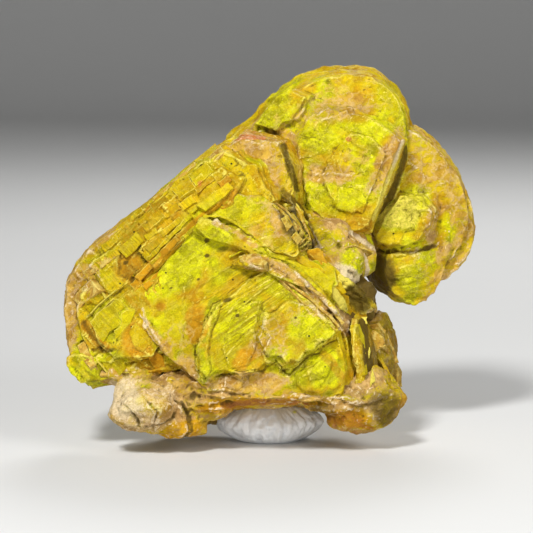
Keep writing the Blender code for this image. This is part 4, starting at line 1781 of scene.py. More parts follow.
@dataclass
class LeftSlab(Growth):
    """The broad slab on the left, whose upper half cleavage has cut into rows of small blocks."""

    name: str = "left_slab"
    books: Books = (
        Book("left_slab", ((-12.7, 7.9), (-12.6, 10), (-11.7, 11.6), (-10.5, 12.8), (-7.2, 15.2),
            (-3.9, 18), (-2.4, 18.7), (-0.2, 17.8), (1.1, 15.4), (-1, 12), (-3.4, 8), (-4.6, 4.6),
            (-8.9, 3.9), (-11, 3.5), (-12.1, 4.6), (-12.4, 6.1)), -2.4, 3.6, -9, 9, inset=0.6,
            slide=(0.15, -0.35), ragged=0.2),
        Book("left_terrace", ((-11.8, 8.4), (-11, 10.8), (-9.2, 12.6), (-5.6, 15.3), (-2.5, 17.6),
            (-1, 16.8), (-2.4, 13.6), (-5.8, 10.6), (-5.6, 5.6), (-8.8, 4.9), (-10.8, 5), (-11.6, 6.4)),
            -2.8, 1.6, -10, 10, inset=0.5, slide=(0.2, -0.3), ragged=0.2),
        Book("left_tablet", ((-10.7, 7.6), (-7.9, 9.9), (-6.1, 10.6), (-5.4, 7), (-6.5, 5.2), (-9.1, 5),
            (-10.1, 5.8)), -3.3, 1.2, -8, 8, inset=0.3),
        Book("shoulder_tablet", ((-4.9, 15.6), (-3.2, 17.1), (-1.6, 17.9), (-0.6, 16.6), (-2.6, 14.6)),
            -2.6, 1.2, -14, 12, inset=0.3),
        Book("block_bed", ((-9.6, 8.4), (-1.9, 14.9), (-3.5, 16.9), (-11.2, 10.4)), -2.95, 1.2, -10, 11,
            ragged=0.15),
        Book("rib_bed", ((-6.9, 10), (-2, 15), (-3.4, 16.2), (-8.2, 11.3)), -3.4, 1.6, -14, 18),
        Book("left_toe", ((-12.1, 5.6), (-12.1, 4.7), (-11, 3.5), (-9.7, 3.8), (-9.8, 5.2), (-11, 5.9)),
            -2.5, 1.8, -16, -6, inset=0.3),
        Book("back_slab", ((-9.8, 6.4), (-9.2, 10.4), (-6.4, 13.4), (-2.6, 15.8), (1.4, 15.6), (3.6, 12.2),
            (3, 7.4), (0.2, 3.9), (-5, 3.4), (-8.8, 4.2)), 3, 3.6, 188, 10, inset=1.2, slide=(0.4, 0.2),
            ragged=0.2),
        Book("back_leaf", ((-7.6, 5.4), (-7, 9.6), (-4.4, 12.2), (-1.6, 13.6), (1.6, 11.4), (0.2, 8.9),
            (1.7, 6.2), (-1.6, 5.7), (-3.4, 4.2)), 3.9, 1.6, 184, 13, inset=0.5, slide=(-0.7, 0.5),
            ragged=0.35),
    )
    stains: Marks = (
        *ovals(COMBED, (-7.5, 11.5, 6, 3, 40, 0.55), (-8.9, 7.3, 0.5, 0.6)),
        *ovals(ORANGE, (-6.1, 13.4, 4.2, 1.2, 40, 0.5), (-7.6, 6.5, 0.9, 1.4, 20, 0.9),
            (-6.8, 4.4, 0.8, 0.7, 0, 0.6), (-10.3, 6.2, 0.7, 0.5, 0, 0.7), (-8, 10.9, 1, 1.2, 30, 0.9)),
        *ovals(LIME, (-4, 13.3, 2.6, 1.2, 42, 0.8), (-9.2, 7.7, 1.5, 1.3, 40, 0.95),
            (-9.5, 4.9, 1.4, 0.9, 10), (-11.6, 4.3, 0.8, 0.8), (-3.7, 16.7, 0.9, 0.5, 40, 0.6),
            (-10, 10.4, 0.8, 0.5, 40, 0.5)),
        *ovals(TAN, (-11.8, 8.2, 0.8, 3.4, 0, 0.9), (-10.1, 12.4, 2, 0.7, 42, 0.8),
            (-10.9, 10.1, 1.1, 1, 0, 0.75), (-4.6, 17.8, 3, 0.4, 42, 0.7), (-7, 3.2, 2.2, 0.6, 5, 0.9)),
        # A darker patch among the blocks, and painted shade in the small crack below the tablet.
        *ovals(DARK, (-8.1, 10.9, 1.1, 1.4, 30, 0.4), (-9.5, 5.8, 0.7, 0.15, 10, 0.7)),
        Streak(ORANGE, ((-7.6, 10), (-5.2, 12.4), (-2, 15)), 0.5, 0.9),
        Streak(ORANGE, ((-10.7, 7.3), (-10.1, 6.4), (-9.6, 6)), 0.45, 1, 0.2),
        # Painted shade: the dark band in the crack along the tablet's lower left side.
        Streak(DARK, ((-10.8, 7.4), (-10.3, 6.7), (-9.7, 6.1)), 0.22, 0.6, 0.3),
        *specks((-8.3, 11, 0.16), (-7, 13.3, 0.12), (-4.6, 14.5, 0.14), (-3.8, 16.7, 0.16), (-7.6, 13.3,
            0.08)),
    )
    reliefs: Reliefs = (
        Flake(((-11.2, 9.2), (-10.4, 10), (-9.7, 9.4), (-10.1, 8.8), (-10.7, 8.5)), 0.22),
        Flake(((-9.5, 4.9), (-8.5, 6), (-7.2, 5.4), (-8.1, 4.2), (-9.2, 4.1)), 0.14),
        Flake(((-11.5, 10.4), (-10.4, 11.9), (-9.9, 11.3), (-10.9, 9.9)), 0.14),
        Flake(((-7.2, 7), (-6.4, 7.7), (-5.8, 6.4), (-6.4, 5.3)), -0.1),
        Flake(((-8.9, 10.2), (-8.7, 11.7), (-7.6, 12.2), (-7.1, 11), (-7.9, 9.7)), -0.22, 0.05),
        Fold(((-10.8, 7.4), (-10.3, 6.5), (-9.8, 5.8)), 0.18, -0.15, 0.05),
        Fold(((-10.3, 5.8), (-9.7, 6), (-9.2, 5.7)), 0.14, -0.14, 0.05),
        Fold(((-11.8, 5.8), (-11.4, 7), (-11.6, 8.8), (-11, 10.2)), 0.14, 0.07, 0.2),
        Fold(((-8.9, 4.3), (-7.6, 4.4), (-6.2, 5), (-5.4, 4.7)), 0.16, -0.16, 0.15),
    )
    cleavage: Cleavage = Cleavage(yaw=-10, pitch=10, turn=-47, brick=(1.2, 0.85), comb=0.34, comb_rise=0.05)
    grain: float = 0.1
    seed: int = 3


@dataclass
class LeftBlocks(Slates):
    """The small blocks on the left slab and the long ribs between it and the front slab."""

    name: str = "left_blocks"
    ground: tuple[str, ...] = ("left_slab",)
    plates: Plates = (
        Plate(((-4.2, 14.3), (-3.2, 15.1), (-2.3, 15.8), (-1.9, 15.4), (-2.4, 14.9), (-3.6, 14)), 0.3, 0,
            0),
        Plate(((-10.4, 7.5), (-9.7, 8.2), (-8.9, 8.9), (-8.5, 8.8), (-8.3, 8.4), (-8.7, 8), (-8.6, 7.3),
            (-9.2, 6.9), (-9.6, 6.3), (-10, 6.8)), 0.07, 0, 0.6, LIME),
        Plate(((-8.6, 8), (-8, 8.5), (-7.7, 8.2), (-8, 7.4), (-8.5, 6.8), (-8.9, 6.5), (-9, 7),
            (-8.6, 7.3)), 0.05, 0, 0.2, LIME),
        # Pale strips along the tablet's upper-left edge, partly painted highlight.
        Plate(((-10.4, 7.4), (-10, 7.9), (-9.5, 8.4), (-9, 8.9)), 0.16, 0.096, 0, CREAM_AND_HIGHLIGHT),
        Plate(((-10.7, 7.7), (-10.1, 8.3), (-9.6, 8.8), (-8.9, 9.4)), 0.12, 0.096, 0.1, CREAM_AND_HIGHLIGHT),
        Plate(((-10.6, 9.1), (-10.1, 9.7), (-9.7, 9.3), (-9.5, 8.9), (-10, 8.5), (-10.4, 8.6)), 0.14, 0,
            0.6, COMBED),
        Plate(((-10.2, 9.7), (-9.8, 9.4), (-9.5, 8.9)), 0.2, 0.09, 0.2, CREAM_AND_HIGHLIGHT),
        Plate(((-8.1, 6.9), (-7.7, 7.5), (-7, 6.9), (-6.8, 6.2), (-7.2, 5.7), (-7.7, 5.9)), 0.1, 0, 0.6),
        Plate(((-9.8, 4.9), (-9.4, 5.5), (-8.8, 5.8), (-8.4, 5.3), (-8.3, 4.7), (-8.8, 4.1), (-9.3, 4.4)),
            0.1, 0, 0.5, LIME),
        Plate(((-10.1, 5.4), (-9.7, 4.9), (-9.3, 4.4), (-8.9, 4)), 0.12, 0.084, 0, CREAM_AND_HIGHLIGHT),
        Plate(((-7.1, 5.6), (-6.7, 6), (-6.1, 5.4), (-5.9, 4.7), (-6.3, 4.4), (-6.7, 4.9)), 0.08, 0, 0.9,
            ORANGE),
        Plate(((-11.2, 6.1), (-10.7, 6.4), (-10.3, 5.6), (-10, 5), (-10.4, 4.8), (-10.9, 5.3)), 0.08, 0,
            0.3, TAN),
        *blocks(None, (-8.6, 12.3, 1.4, 42, 0.42, 0.22, 0.7), (-7.3, 13.1, 1.4, 42, 0.84, 0.26, 0.45),
            (-5.4, 15, 1.3, 37, 0.84, 0.2, 0.35), (-4.3, 15.3, 1.5, 39, 0.72, 0.1, 0.8),
            (-6.8, 14.2, 1.1, 41, 0.66, 0.16, 0.95), (-6, 13.7, 1.1, 36, 0.48, 0.12, 0.4),
            (-6.2, 12.6, 1.5, 39, 0.42, 0.14, 0.2), (-5.1, 14.2, 1, 36, 0.6, 0.18, 0.05),
            (-7, 11.7, 1.1, 41, 0.48, 0.16, 0.6), (-9.7, 11.8, 1.2, 39, 0.42, 0.12, 0.5),
            (-9.2, 11.2, 0.7, 42, 0.36, 0.16, 0.2), (-9.1, 12.7, 2.3, 40, 0.3, 0.18, 0.3),
            (-8.3, 12.8, 2.1, 41, 0.24, 0.22, 0.3), (-4.3, 16.9, 1.7, 39, 0.3, 0.1, 0.4),
            (-7, 11.2, 1.7, 42, 0.3, 0.2, 0.2), (-5.8, 12.4, 2, 45, 0.3, 0.24, 0.1),
            (-4.4, 13.9, 1.9, 42, 0.24, 0.22, 0.1), (-6.8, 10.9, 1.7, 44, 0.24, 0.22, 0.3),
            (-3.6, 14.5, 1.3, 37, 0.24, 0.26, 0.3)),
        *blocks(LIME, (-8.5, 11.5, 1.5, 45, 0.78, 0.24, 0.3), (-4.4, 15.8, 1.4, 38, 0.78, 0.16, 0.3),
            (-7.1, 12.4, 0.9, 42, 0.48, 0.1, 0.2), (-5, 12.3, 1.2, 43, 0.24, 0.2, 0.1)),
        *blocks(ORANGE, (-2.8, 15.5, 0.8, 42, 0.54, 0.2, 0.7), (-7.2, 14, 1.3, 47, 0.24, 0.1, 0.5),
            (-7.6, 10, 3.4, 46, 0.48, 0.26, 0.5), (-7.2, 9.5, 1.3, 45, 0.36, 0.2, 0.2),
            (-5.2, 12.4, 1.4, 41, 0.54, 0.16, 0.6), (-7.9, 9.5, 0.7, 42, 0.54, 0.18, 0.3)),
        *blocks(TAN, (-11.3, 8.6, 1.6, 42, 0.84, 0.2, 0.6), (-9.9, 10.8, 1.1, 41, 0.54, 0.12, 0.3),
            (-10.8, 10.2, 0.9, 40, 0.54, 0.1, 0.3), (-6.8, 14.7, 3.4, 40, 0.24, 0.1, 0.3),
            (-10.5, 11.8, 1.3, 34, 0.3, 0.1, 0.3), (-3.4, 17, 1.1, 41, 0.48, 0.14, 0.4)),
    )
    stains: Marks = (
        *ovals(COMBED, (-7.5, 11.5, 6, 3, 40, 0.85), (-8.4, 11.4, 1.2, 1.6, 30)),
        Patch(ORANGE, (-6.4, 13.2), (4.6, 1.4), 41, 0.4, 0.9),
        Patch(DARK, (-8.3, 11.1), (1, 1.4), 30, 0.3),
        Patch(LIME, (-4, 13.4), (2.2, 1.2), 42, 0.6),
        Patch(RUST, (-3.9, 15.7), (0.3, 0.16), 0, 0.8, 0.2),
        *specks((-7, 13.3, 0.12), (-4.6, 14.5, 0.14)),
    )
    side_shade: float = 0.3
    cleavage: Cleavage = Cleavage(yaw=-10, pitch=10, turn=-47)
    seed: int = 29
    lime_share: float = 0.1
    crusted: float = 0.15


@dataclass
class FrontSlab(Growth):
    """The lime slab in front, with its pale plate, its tan ridge and the pages that open behind it."""

    name: str = "front_slab"
    books: Books = (
        Book("front_slab", ((-4.5, 13.4), (-4.1, 13.9), (-3, 13.9), (-0.6, 12.8), (1.9, 11.3), (3.7, 9.7),
            (5.1, 7.6), (5.7, 4.9), (5.3, 3.1), (3.1, 2.7), (0.8, 3.2), (-1.6, 3.4), (-3.2, 3.5),
            (-4.4, 4.4), (-6.1, 5.8), (-7.4, 7.6), (-7.8, 9), (-7.3, 10.1), (-5.8, 11.9)), -4, 3.2, -2, 12,
            inset=0.45, slide=(-0.4, -0.35), bow=0.5),
        Book("front_leaf", ((-3, 8.6), (-3.8, 7.2), (-4.2, 5.8), (-4, 4.6), (-3.4, 4.1), (-2.4, 4.6),
            (-1.5, 4.3), (-0.2, 4.7), (0.6, 5.2), (1, 4.6), (2.1, 5.1), (2.6, 5.6), (3.4, 6.1), (4.6, 7.1),
            (3.3, 9), (1.3, 10.6), (0, 10.9), (-1.7, 9.8)), -4.65, 1.4, 3, 12, inset=0.25, ragged=0.12),
        Book("pale_leaf", ((-0.3, 8.3), (1, 9.1), (3.2, 8.9), (4.5, 7.1), (3.9, 6.6), (3.3, 6.4), (3, 5.8),
            (2.3, 5.7), (1.9, 5.2), (1.2, 5), (0.8, 5.5), (0.2, 5.4), (-0.3, 5.7), (-0.7, 6.6)), -5, 1.2,
            7, 11, inset=0.2, ragged=0.2),
        Book("corner_block", ((1.5, 4.3), (2.2, 4.9), (2.8, 5.5), (3.6, 6), (4.6, 6.9), (5.3, 5),
            (5.2, 3.8), (4.4, 3), (3.1, 2.8), (2, 3.1), (1.4, 3.7)), -4.7, 1.6, 14, 4, inset=0.5, bow=0.4),
        Book("ridge_leaf", ((-4.5, 13.2), (-4.1, 13.9), (-3, 13.8), (-0.7, 12.7), (1.8, 11.1), (3.7, 9.5),
            (4.8, 7.6), (3.6, 8.6), (2, 9.9), (-0.2, 11.3), (-1.9, 12.1), (-3.6, 12.6)), -4.15, 1.4, 8, 22,
            inset=0.3, slide=(-0.1, -0.1)),
        Book("ridge_lens", ((-1.9, 11), (-1, 11.6), (0.3, 11.5), (2, 10.4), (3.2, 9.3), (1.4, 9.7),
            (-0.2, 10.6)), -4.7, 1.2, 8, 16, inset=0.3, rounded=True),
    )
    stains: Marks = (
        *ovals(COMBED, (-1.4, 8.4, 3.4, 2.2, 34), (-1.8, 5.8, 1.4, 1.6, 0, 0.8),
            (2.6, 9.4, 3, 0.8, -45, 0.7)),
        *ovals(LIME, (-5.3, 10.7, 3.2, 1.5, 42), (-2.9, 12.5, 1.6, 0.9, 20, 0.9),
            (-5.3, 7.7, 1.5, 1.6, 0, 0.55), (-1.6, 7.6, 2.2, 1.3, 38, 0.8), (-2.2, 5.5, 1, 1.2, 20, 0.5),
            (1.3, 9.5, 2, 0.9, -10, 0.85), (2.2, 7.2, 1.3, 0.9, 20), (0.6, 5.6, 0.8, 0.7, 0, 0.9),
            (3.4, 4.8, 1.3, 1.3, 0, 0.95)),
        *ovals(TAN, (-5.2, 6.7, 1.4, 0.9, 0, 0.45), (-4.8, 4.6, 0.8, 1.2, 20, 0.9),
            (0.3, 6.6, 1.5, 1, 30, 0.6, 0.9), (2, 8.3, 1.2, 0.5, 20, 0.45, 0.9),
            (3.1, 8.3, 0.8, 0.7, -30, 0.6), (-0.2, 11, 1.3, 0.4, -12, 0.9), (1.1, 10.5, 0.9, 0.5, -25, 0.8),
            (-0.9, 3.9, 2.8, 0.75, 4)),
        *ovals(ORANGE, (-6.2, 8.4, 0.4, 0.35), (-4.1, 7.6, 0.7, 1.7, 10, 0.95, 0.8),
            (-4.3, 5, 0.7, 1.2, 0, 0.5), (-1.3, 5.4, 0.8, 0.5, 40, 0.9, 0.9), (-2, 9.6, 1, 0.5, 30, 0.5)),
        Patch(CREAM_AND_HIGHLIGHT, (-3.6, 13.6), (1, 0.5), 0, 0.5),
        *ovals(DARK, (-2.6, 11.8, 0.4, 0.2, 20, 0.6, 0.8), (-2.3, 8.8, 0.3, 0.12, 20, 0.8, 0.8)),
        Streak(TAN, ((-7.7, 9.5), (-7.5, 7.7), (-5.9, 5.9), (-5.3, 4.4)), 0.5, 0.75),
        Streak(LIME, ((-3, 8.6), (-3.6, 7.3), (-4, 5.8), (-3.7, 4.3)), 0.5),
        Streak(ORANGE, ((3.3, 5.6), (3.9, 5.1), (4.4, 4.3)), 0.3, 0.7, 0.8),
        Streak(TAN, ((-3, 13.3), (-1.8, 12.8), (-0.7, 12)), 0.26, 0.8),
        Streak(TAN, ((0.4, 10.9), (1.8, 10.1), (3.2, 8.8), (4.7, 6.9)), 0.34, 0.9),
        Streak(LIME, ((-3.8, 13.8), (-2, 13.5), (-0.4, 12.2), (1.2, 11.2), (2.4, 10.5)), 0.4, 0.8),
        Streak(CREAM_AND_HIGHLIGHT, ((-4.2, 13.6), (-5.3, 12.1), (-7.4, 9.7), (-7.5, 8.8), (-7.1, 7.3)), 0.28, 0.75),
        # Painted shade along the crack under the slab's lower leaves.
        Streak(DARK, ((-2.9, 4.4), (-1.5, 4.5), (-0.2, 4.7), (0.6, 5.2), (1.1, 4.7), (3.4, 6.1)), 0.07, 0.6,
            0.6),
        Streak(TAN, ((1.2, 3.4), (2, 2.9), (4.4, 2.9)), 0.4, 0.8),
        *specks((-3.5, 12.3, 0.2), (-3.5, 11.4, 0.2), (-1.7, 7.9, 0.14), (-3.8, 6.4, 0.1), (-4, 10, 0.12),
            (-6.1, 9.5, 0.1), (-5.6, 9.5, 0.1), (1.7, 7.8, 0.1)),
    )
    reliefs: Reliefs = (
        Flake(((-3.1, 8.6), (-2.6, 8.8), (-2.8, 8), (-3.2, 7), (-3.4, 5.9), (-3.2, 4.8), (-3.4, 3.9),
            (-3.8, 3.9), (-4.1, 4.8), (-4.2, 5.8), (-3.8, 6.7), (-3.5, 7.7)), 0.22, 0.06),
        Fold(((-2.6, 8.4), (-2.9, 7.3), (-3, 6.4), (-3.1, 5.4), (-2.9, 4.6)), 0.4, -0.1, 0.15),
        Flake(((-2.5, 5.9), (-2.2, 7.3), (-1.6, 8.2), (-0.8, 8.7), (-0.2, 8.8), (-0.5, 8), (-0.6, 7.1),
            (-0.5, 6.2), (-0.8, 5.5), (-1.1, 5), (-1.6, 4.9), (-2.1, 4.9)), 0.13),
        Flake(((-2.3, 8), (-1, 9.7), (0.6, 10.7), (1.2, 10.3), (-0.2, 9.4), (-1.6, 8.3)), 0.09),
        Flake(((-0.2, 8.6), (0.6, 9.2), (1.6, 9.4), (2.4, 8.9), (3.2, 8.4), (3.9, 7.6), (4.3, 6.9),
            (4, 6.5), (3.5, 6.2), (3.1, 5.8), (2.5, 5.6), (2, 5.2), (1.4, 4.8), (0.7, 5.1), (0, 5.1),
            (-0.2, 5.8), (0.2, 6.6), (-0.4, 7.3), (-0.2, 8.1)), 0.14, 0.08),
        Flake(((0.6, 8.2), (2, 8.8), (2.4, 7.9), (1.6, 7.1), (0.9, 7.2)), 0.08, 0.2),
        Flake(((2.5, 8), (3.3, 7.9), (3.8, 7.1), (3.1, 6.5), (2.3, 6.7)), 0.07, 0.2),
        Flake(((2.2, 5.3), (3.1, 5.6), (3.8, 5.1), (3.5, 4.3), (2.5, 4.1)), 0.12),
        Flake(((-2.4, 4.4), (-1.4, 4.6), (-1, 4.1), (-1.7, 3.6), (-2.5, 3.7)), 0.12),
        Flake(((-5, 7), (-4.4, 7.7), (-3.5, 7.4), (-3.8, 6.5), (-4.4, 5.8), (-4.9, 6.1)), -0.1, 0.1),
        Flake(((-6.4, 8.8), (-5.6, 9.8), (-4.7, 9.6), (-5, 8.5), (-5.8, 8)), 0.06, 0.15),
        Flake(((-3.8, 14), (-3, 13.9), (-2.4, 13.2), (-3, 12.4), (-3.7, 12.8), (-4.1, 13.4)), 0.1, 0.05),
        Flake(((-1.7, 11.3), (-1.2, 11.6), (-0.5, 11.7), (0.1, 11.5), (0.4, 11), (0, 10.7), (-0.7, 10.7),
            (-1.3, 10.9)), 0.16, 0.05),
        Fold(((0.1, 11), (1.1, 10.3), (2.2, 9.2), (3.1, 8.3), (4, 7.4), (4.5, 6.6)), 0.13, -0.14, 0.06),
        Fold(((-0.1, 10.7), (0.8, 9.9), (1.9, 8.9), (2.8, 8), (3.5, 7.3)), 0.1, -0.09, 0.06),
        Fold(((0.5, 11.3), (1.6, 10.5), (2.6, 9.5), (3.6, 8.6), (4.4, 7.7)), 0.16, 0.12, 0.08),
        Fold(((-2.9, 4.5), (-2.3, 4.4), (-1.6, 4.7), (-0.8, 4.7), (-0.2, 4.7), (0.2, 5.1), (0.6, 5.3)),
            0.09, -0.12, 0.1),
        Fold(((0.6, 5.3), (1, 4.7), (1.4, 4.5), (2.1, 5.2), (2.5, 5.6), (3.1, 5.7), (3.4, 6.2), (4.2, 6.5),
            (4, 7.1)), 0.09, -0.16, 0.05),
        Fold(((-3.7, 13.4), (-2.6, 12.8), (-1.4, 11.8), (-0.8, 11.5)), 0.2, 0.1, 0.1),
        Fold(((-2.5, 9), (-1.4, 9.8), (-0.2, 10.4)), 0.07, 0.07, 0.03),
        Fold(((-2.2, 8.6), (-1, 9.3), (0.2, 10)), 0.07, 0.07, 0.03),
        Fold(((-2, 6.7), (-1.4, 7.4), (-0.7, 7.9)), 0.07, 0.06, 0.03),
        Fold(((-2.2, 5.6), (-1.5, 6.4), (-0.8, 7)), 0.07, 0.06, 0.03),
        Fold(((-5.9, 10.7), (-5.2, 8.8), (-4.8, 7)), 0.6, -0.08, 0.2),
        Fold(((-0.2, 12), (0.1, 11.6), (0.2, 11)), 0.08, -0.1, 0.05),
        Fold(((-7.1, 7.7), (-6.5, 6.6), (-5.8, 5.6)), 0.12, 0.12, 0.1),
    )
    cleavage: Cleavage = Cleavage(yaw=0, pitch=12, turn=34, brick=(3.4, 1.9), brick_rise=0.05, comb=0.22,
                                  comb_rise=0.022, terrace=0.5, terrace_rise=0.05)
    grain: float = 0.078
    seed: int = 5
    lime_share: float = 0.55
    crusted: float = 0.15
    page_count: int = 5
    page_thick: float = 0.24
    page_first: Point = (2.6, 10.2)
    page_step: Point = (0.45, -0.42)
    page_depths: Point = (-3.5, 0.3)
    page_yaws: Point = (16.0, 9.0)
    page_pitches: Point = (34.0, -7.0)
    page_size: Point = (3.6, 2.4)
    page_growth: float = 0.3
    page_corner: float = 0.7

    def gather(self) -> list[Book]:
        """The slab's books and its pages."""
        return [*self.books, *self.pages()]

    def pages(self) -> list[Book]:
        """Draws the thin leaves that stand open behind the ridge.

        Returns:
            A book of one leaf for each.
        """
        made = []
        for k in range(self.page_count):
            middle = Vector(self.page_first) + Vector(self.page_step) * k
            width, height = self.page_size
            outline = tablet(width, height + self.page_growth * k, self.page_corner)
            series = (self.page_depths, self.page_yaws, self.page_pitches)
            depth, yaw, pitch = (first + step * k for first, step in series)
            made.append(
                Book(f"page_{k}", outline, depth, self.page_thick, yaw=yaw, pitch=pitch, bow=0.25,
                     middle=tuple(middle), ragged=0.18)
            )
        return made


@dataclass
class RidgeLeaves(Slates):
    """The broken leaves along the front slab's ridge and the fine ledges on its face."""

    name: str = "ridge_leaves"
    ground: tuple[str, ...] = ("front_slab",)
    plates: Plates = (
        Plate(((0.6, 10.3), (1.3, 9.5), (2.2, 8.6), (3.4, 7.8), (4.1, 7.1)), 0.06, 0.15, 0.4, TAN),
        Plate(((1.1, 10), (1.9, 9.4), (2.9, 8.6), (3.7, 7.9), (4.3, 7.2)), 0.1, 0.18, 0.8, TAN),
        Plate(((1.6, 9.9), (2.5, 9.5), (3.4, 8.9), (4, 8.1), (4.5, 7.4)), 0.14, 0.24, 0.2, TAN),
        Plate(((-0.2, 12.2), (1.1, 11.6), (2.2, 11), (3.1, 10.7), (4, 9.9), (3.9, 9.2), (3.5, 9.4),
            (3, 9.6), (2, 10.1), (1.1, 10.8), (0.2, 11.4)), 0.26, 0, 0, LIME, bow=0.1),
        Plate(((1.2, 11.9), (2.2, 11.4), (3.1, 10.9), (4.1, 10), (4.8, 9.3), (4.6, 9.1), (3.7, 9.8),
            (2.8, 10.5), (1.9, 11)), 0.12, 0, 0.5),
        Plate(((2.3, 11.8), (2.7, 11.9), (3.2, 11.9), (3.5, 11.4), (3.7, 10.7), (3.4, 10.7), (3.1, 11),
            (2.6, 11.4)), 0.1, 0, 0.5, ORANGE, bow=0.2, rounded=True),
        Plate(((0.1, 12.4), (0.4, 12.6), (0.8, 12.5), (1.2, 11.9), (1.4, 11.6), (0.9, 11.7), (0.4, 11.9)),
            0.2, 0, 0.1, ORANGE, bow=0.2, rounded=True),
        Plate(((3.8, 9.7), (4.3, 9.5), (4.7, 8.8), (4.9, 8.2), (4.8, 8), (4.4, 8.2), (4, 8.9)), 0.3, 0, 0,
            CREAM_AND_HIGHLIGHT, bow=0.12),
        Plate(((-1.6, 11.3), (-1.2, 11.5), (-0.5, 11.6), (-0.1, 11.4), (0.1, 11), (-0.5, 10.9), (-1.2, 11)),
            0.14, 0, 0.2, TAN, bow=0.15, rounded=True),
        Plate(((-2.2, 11.3), (-1.6, 11.6), (-0.7, 11.8), (0.1, 11.4), (1.1, 11.2)), 0.1, 0.18, 0, LIME),
        Plate(((-3.7, 13.7), (-2.8, 13.7), (-1.9, 13.4), (-1.1, 12.8), (-0.2, 12.1), (0.4, 11.8)), 0.08,
            0.21, 0, LIME),
    )
    stains: Marks = (
        Patch(DARK, (0.2, 10.95), (0.3, 0.12), 20, 0.9, 0.3),
        *ovals(ORANGE, (3.2, 9.3, 0.6, 0.2, -40, 0.6), (4.1, 9.2, 0.3, 0.25, 0, 0.7)),
    )
    cleavage: Cleavage = Cleavage(yaw=0, pitch=12, turn=34)
    seed: int = 31
    lime_share: float = 0.3
    crusted: float = 0.2


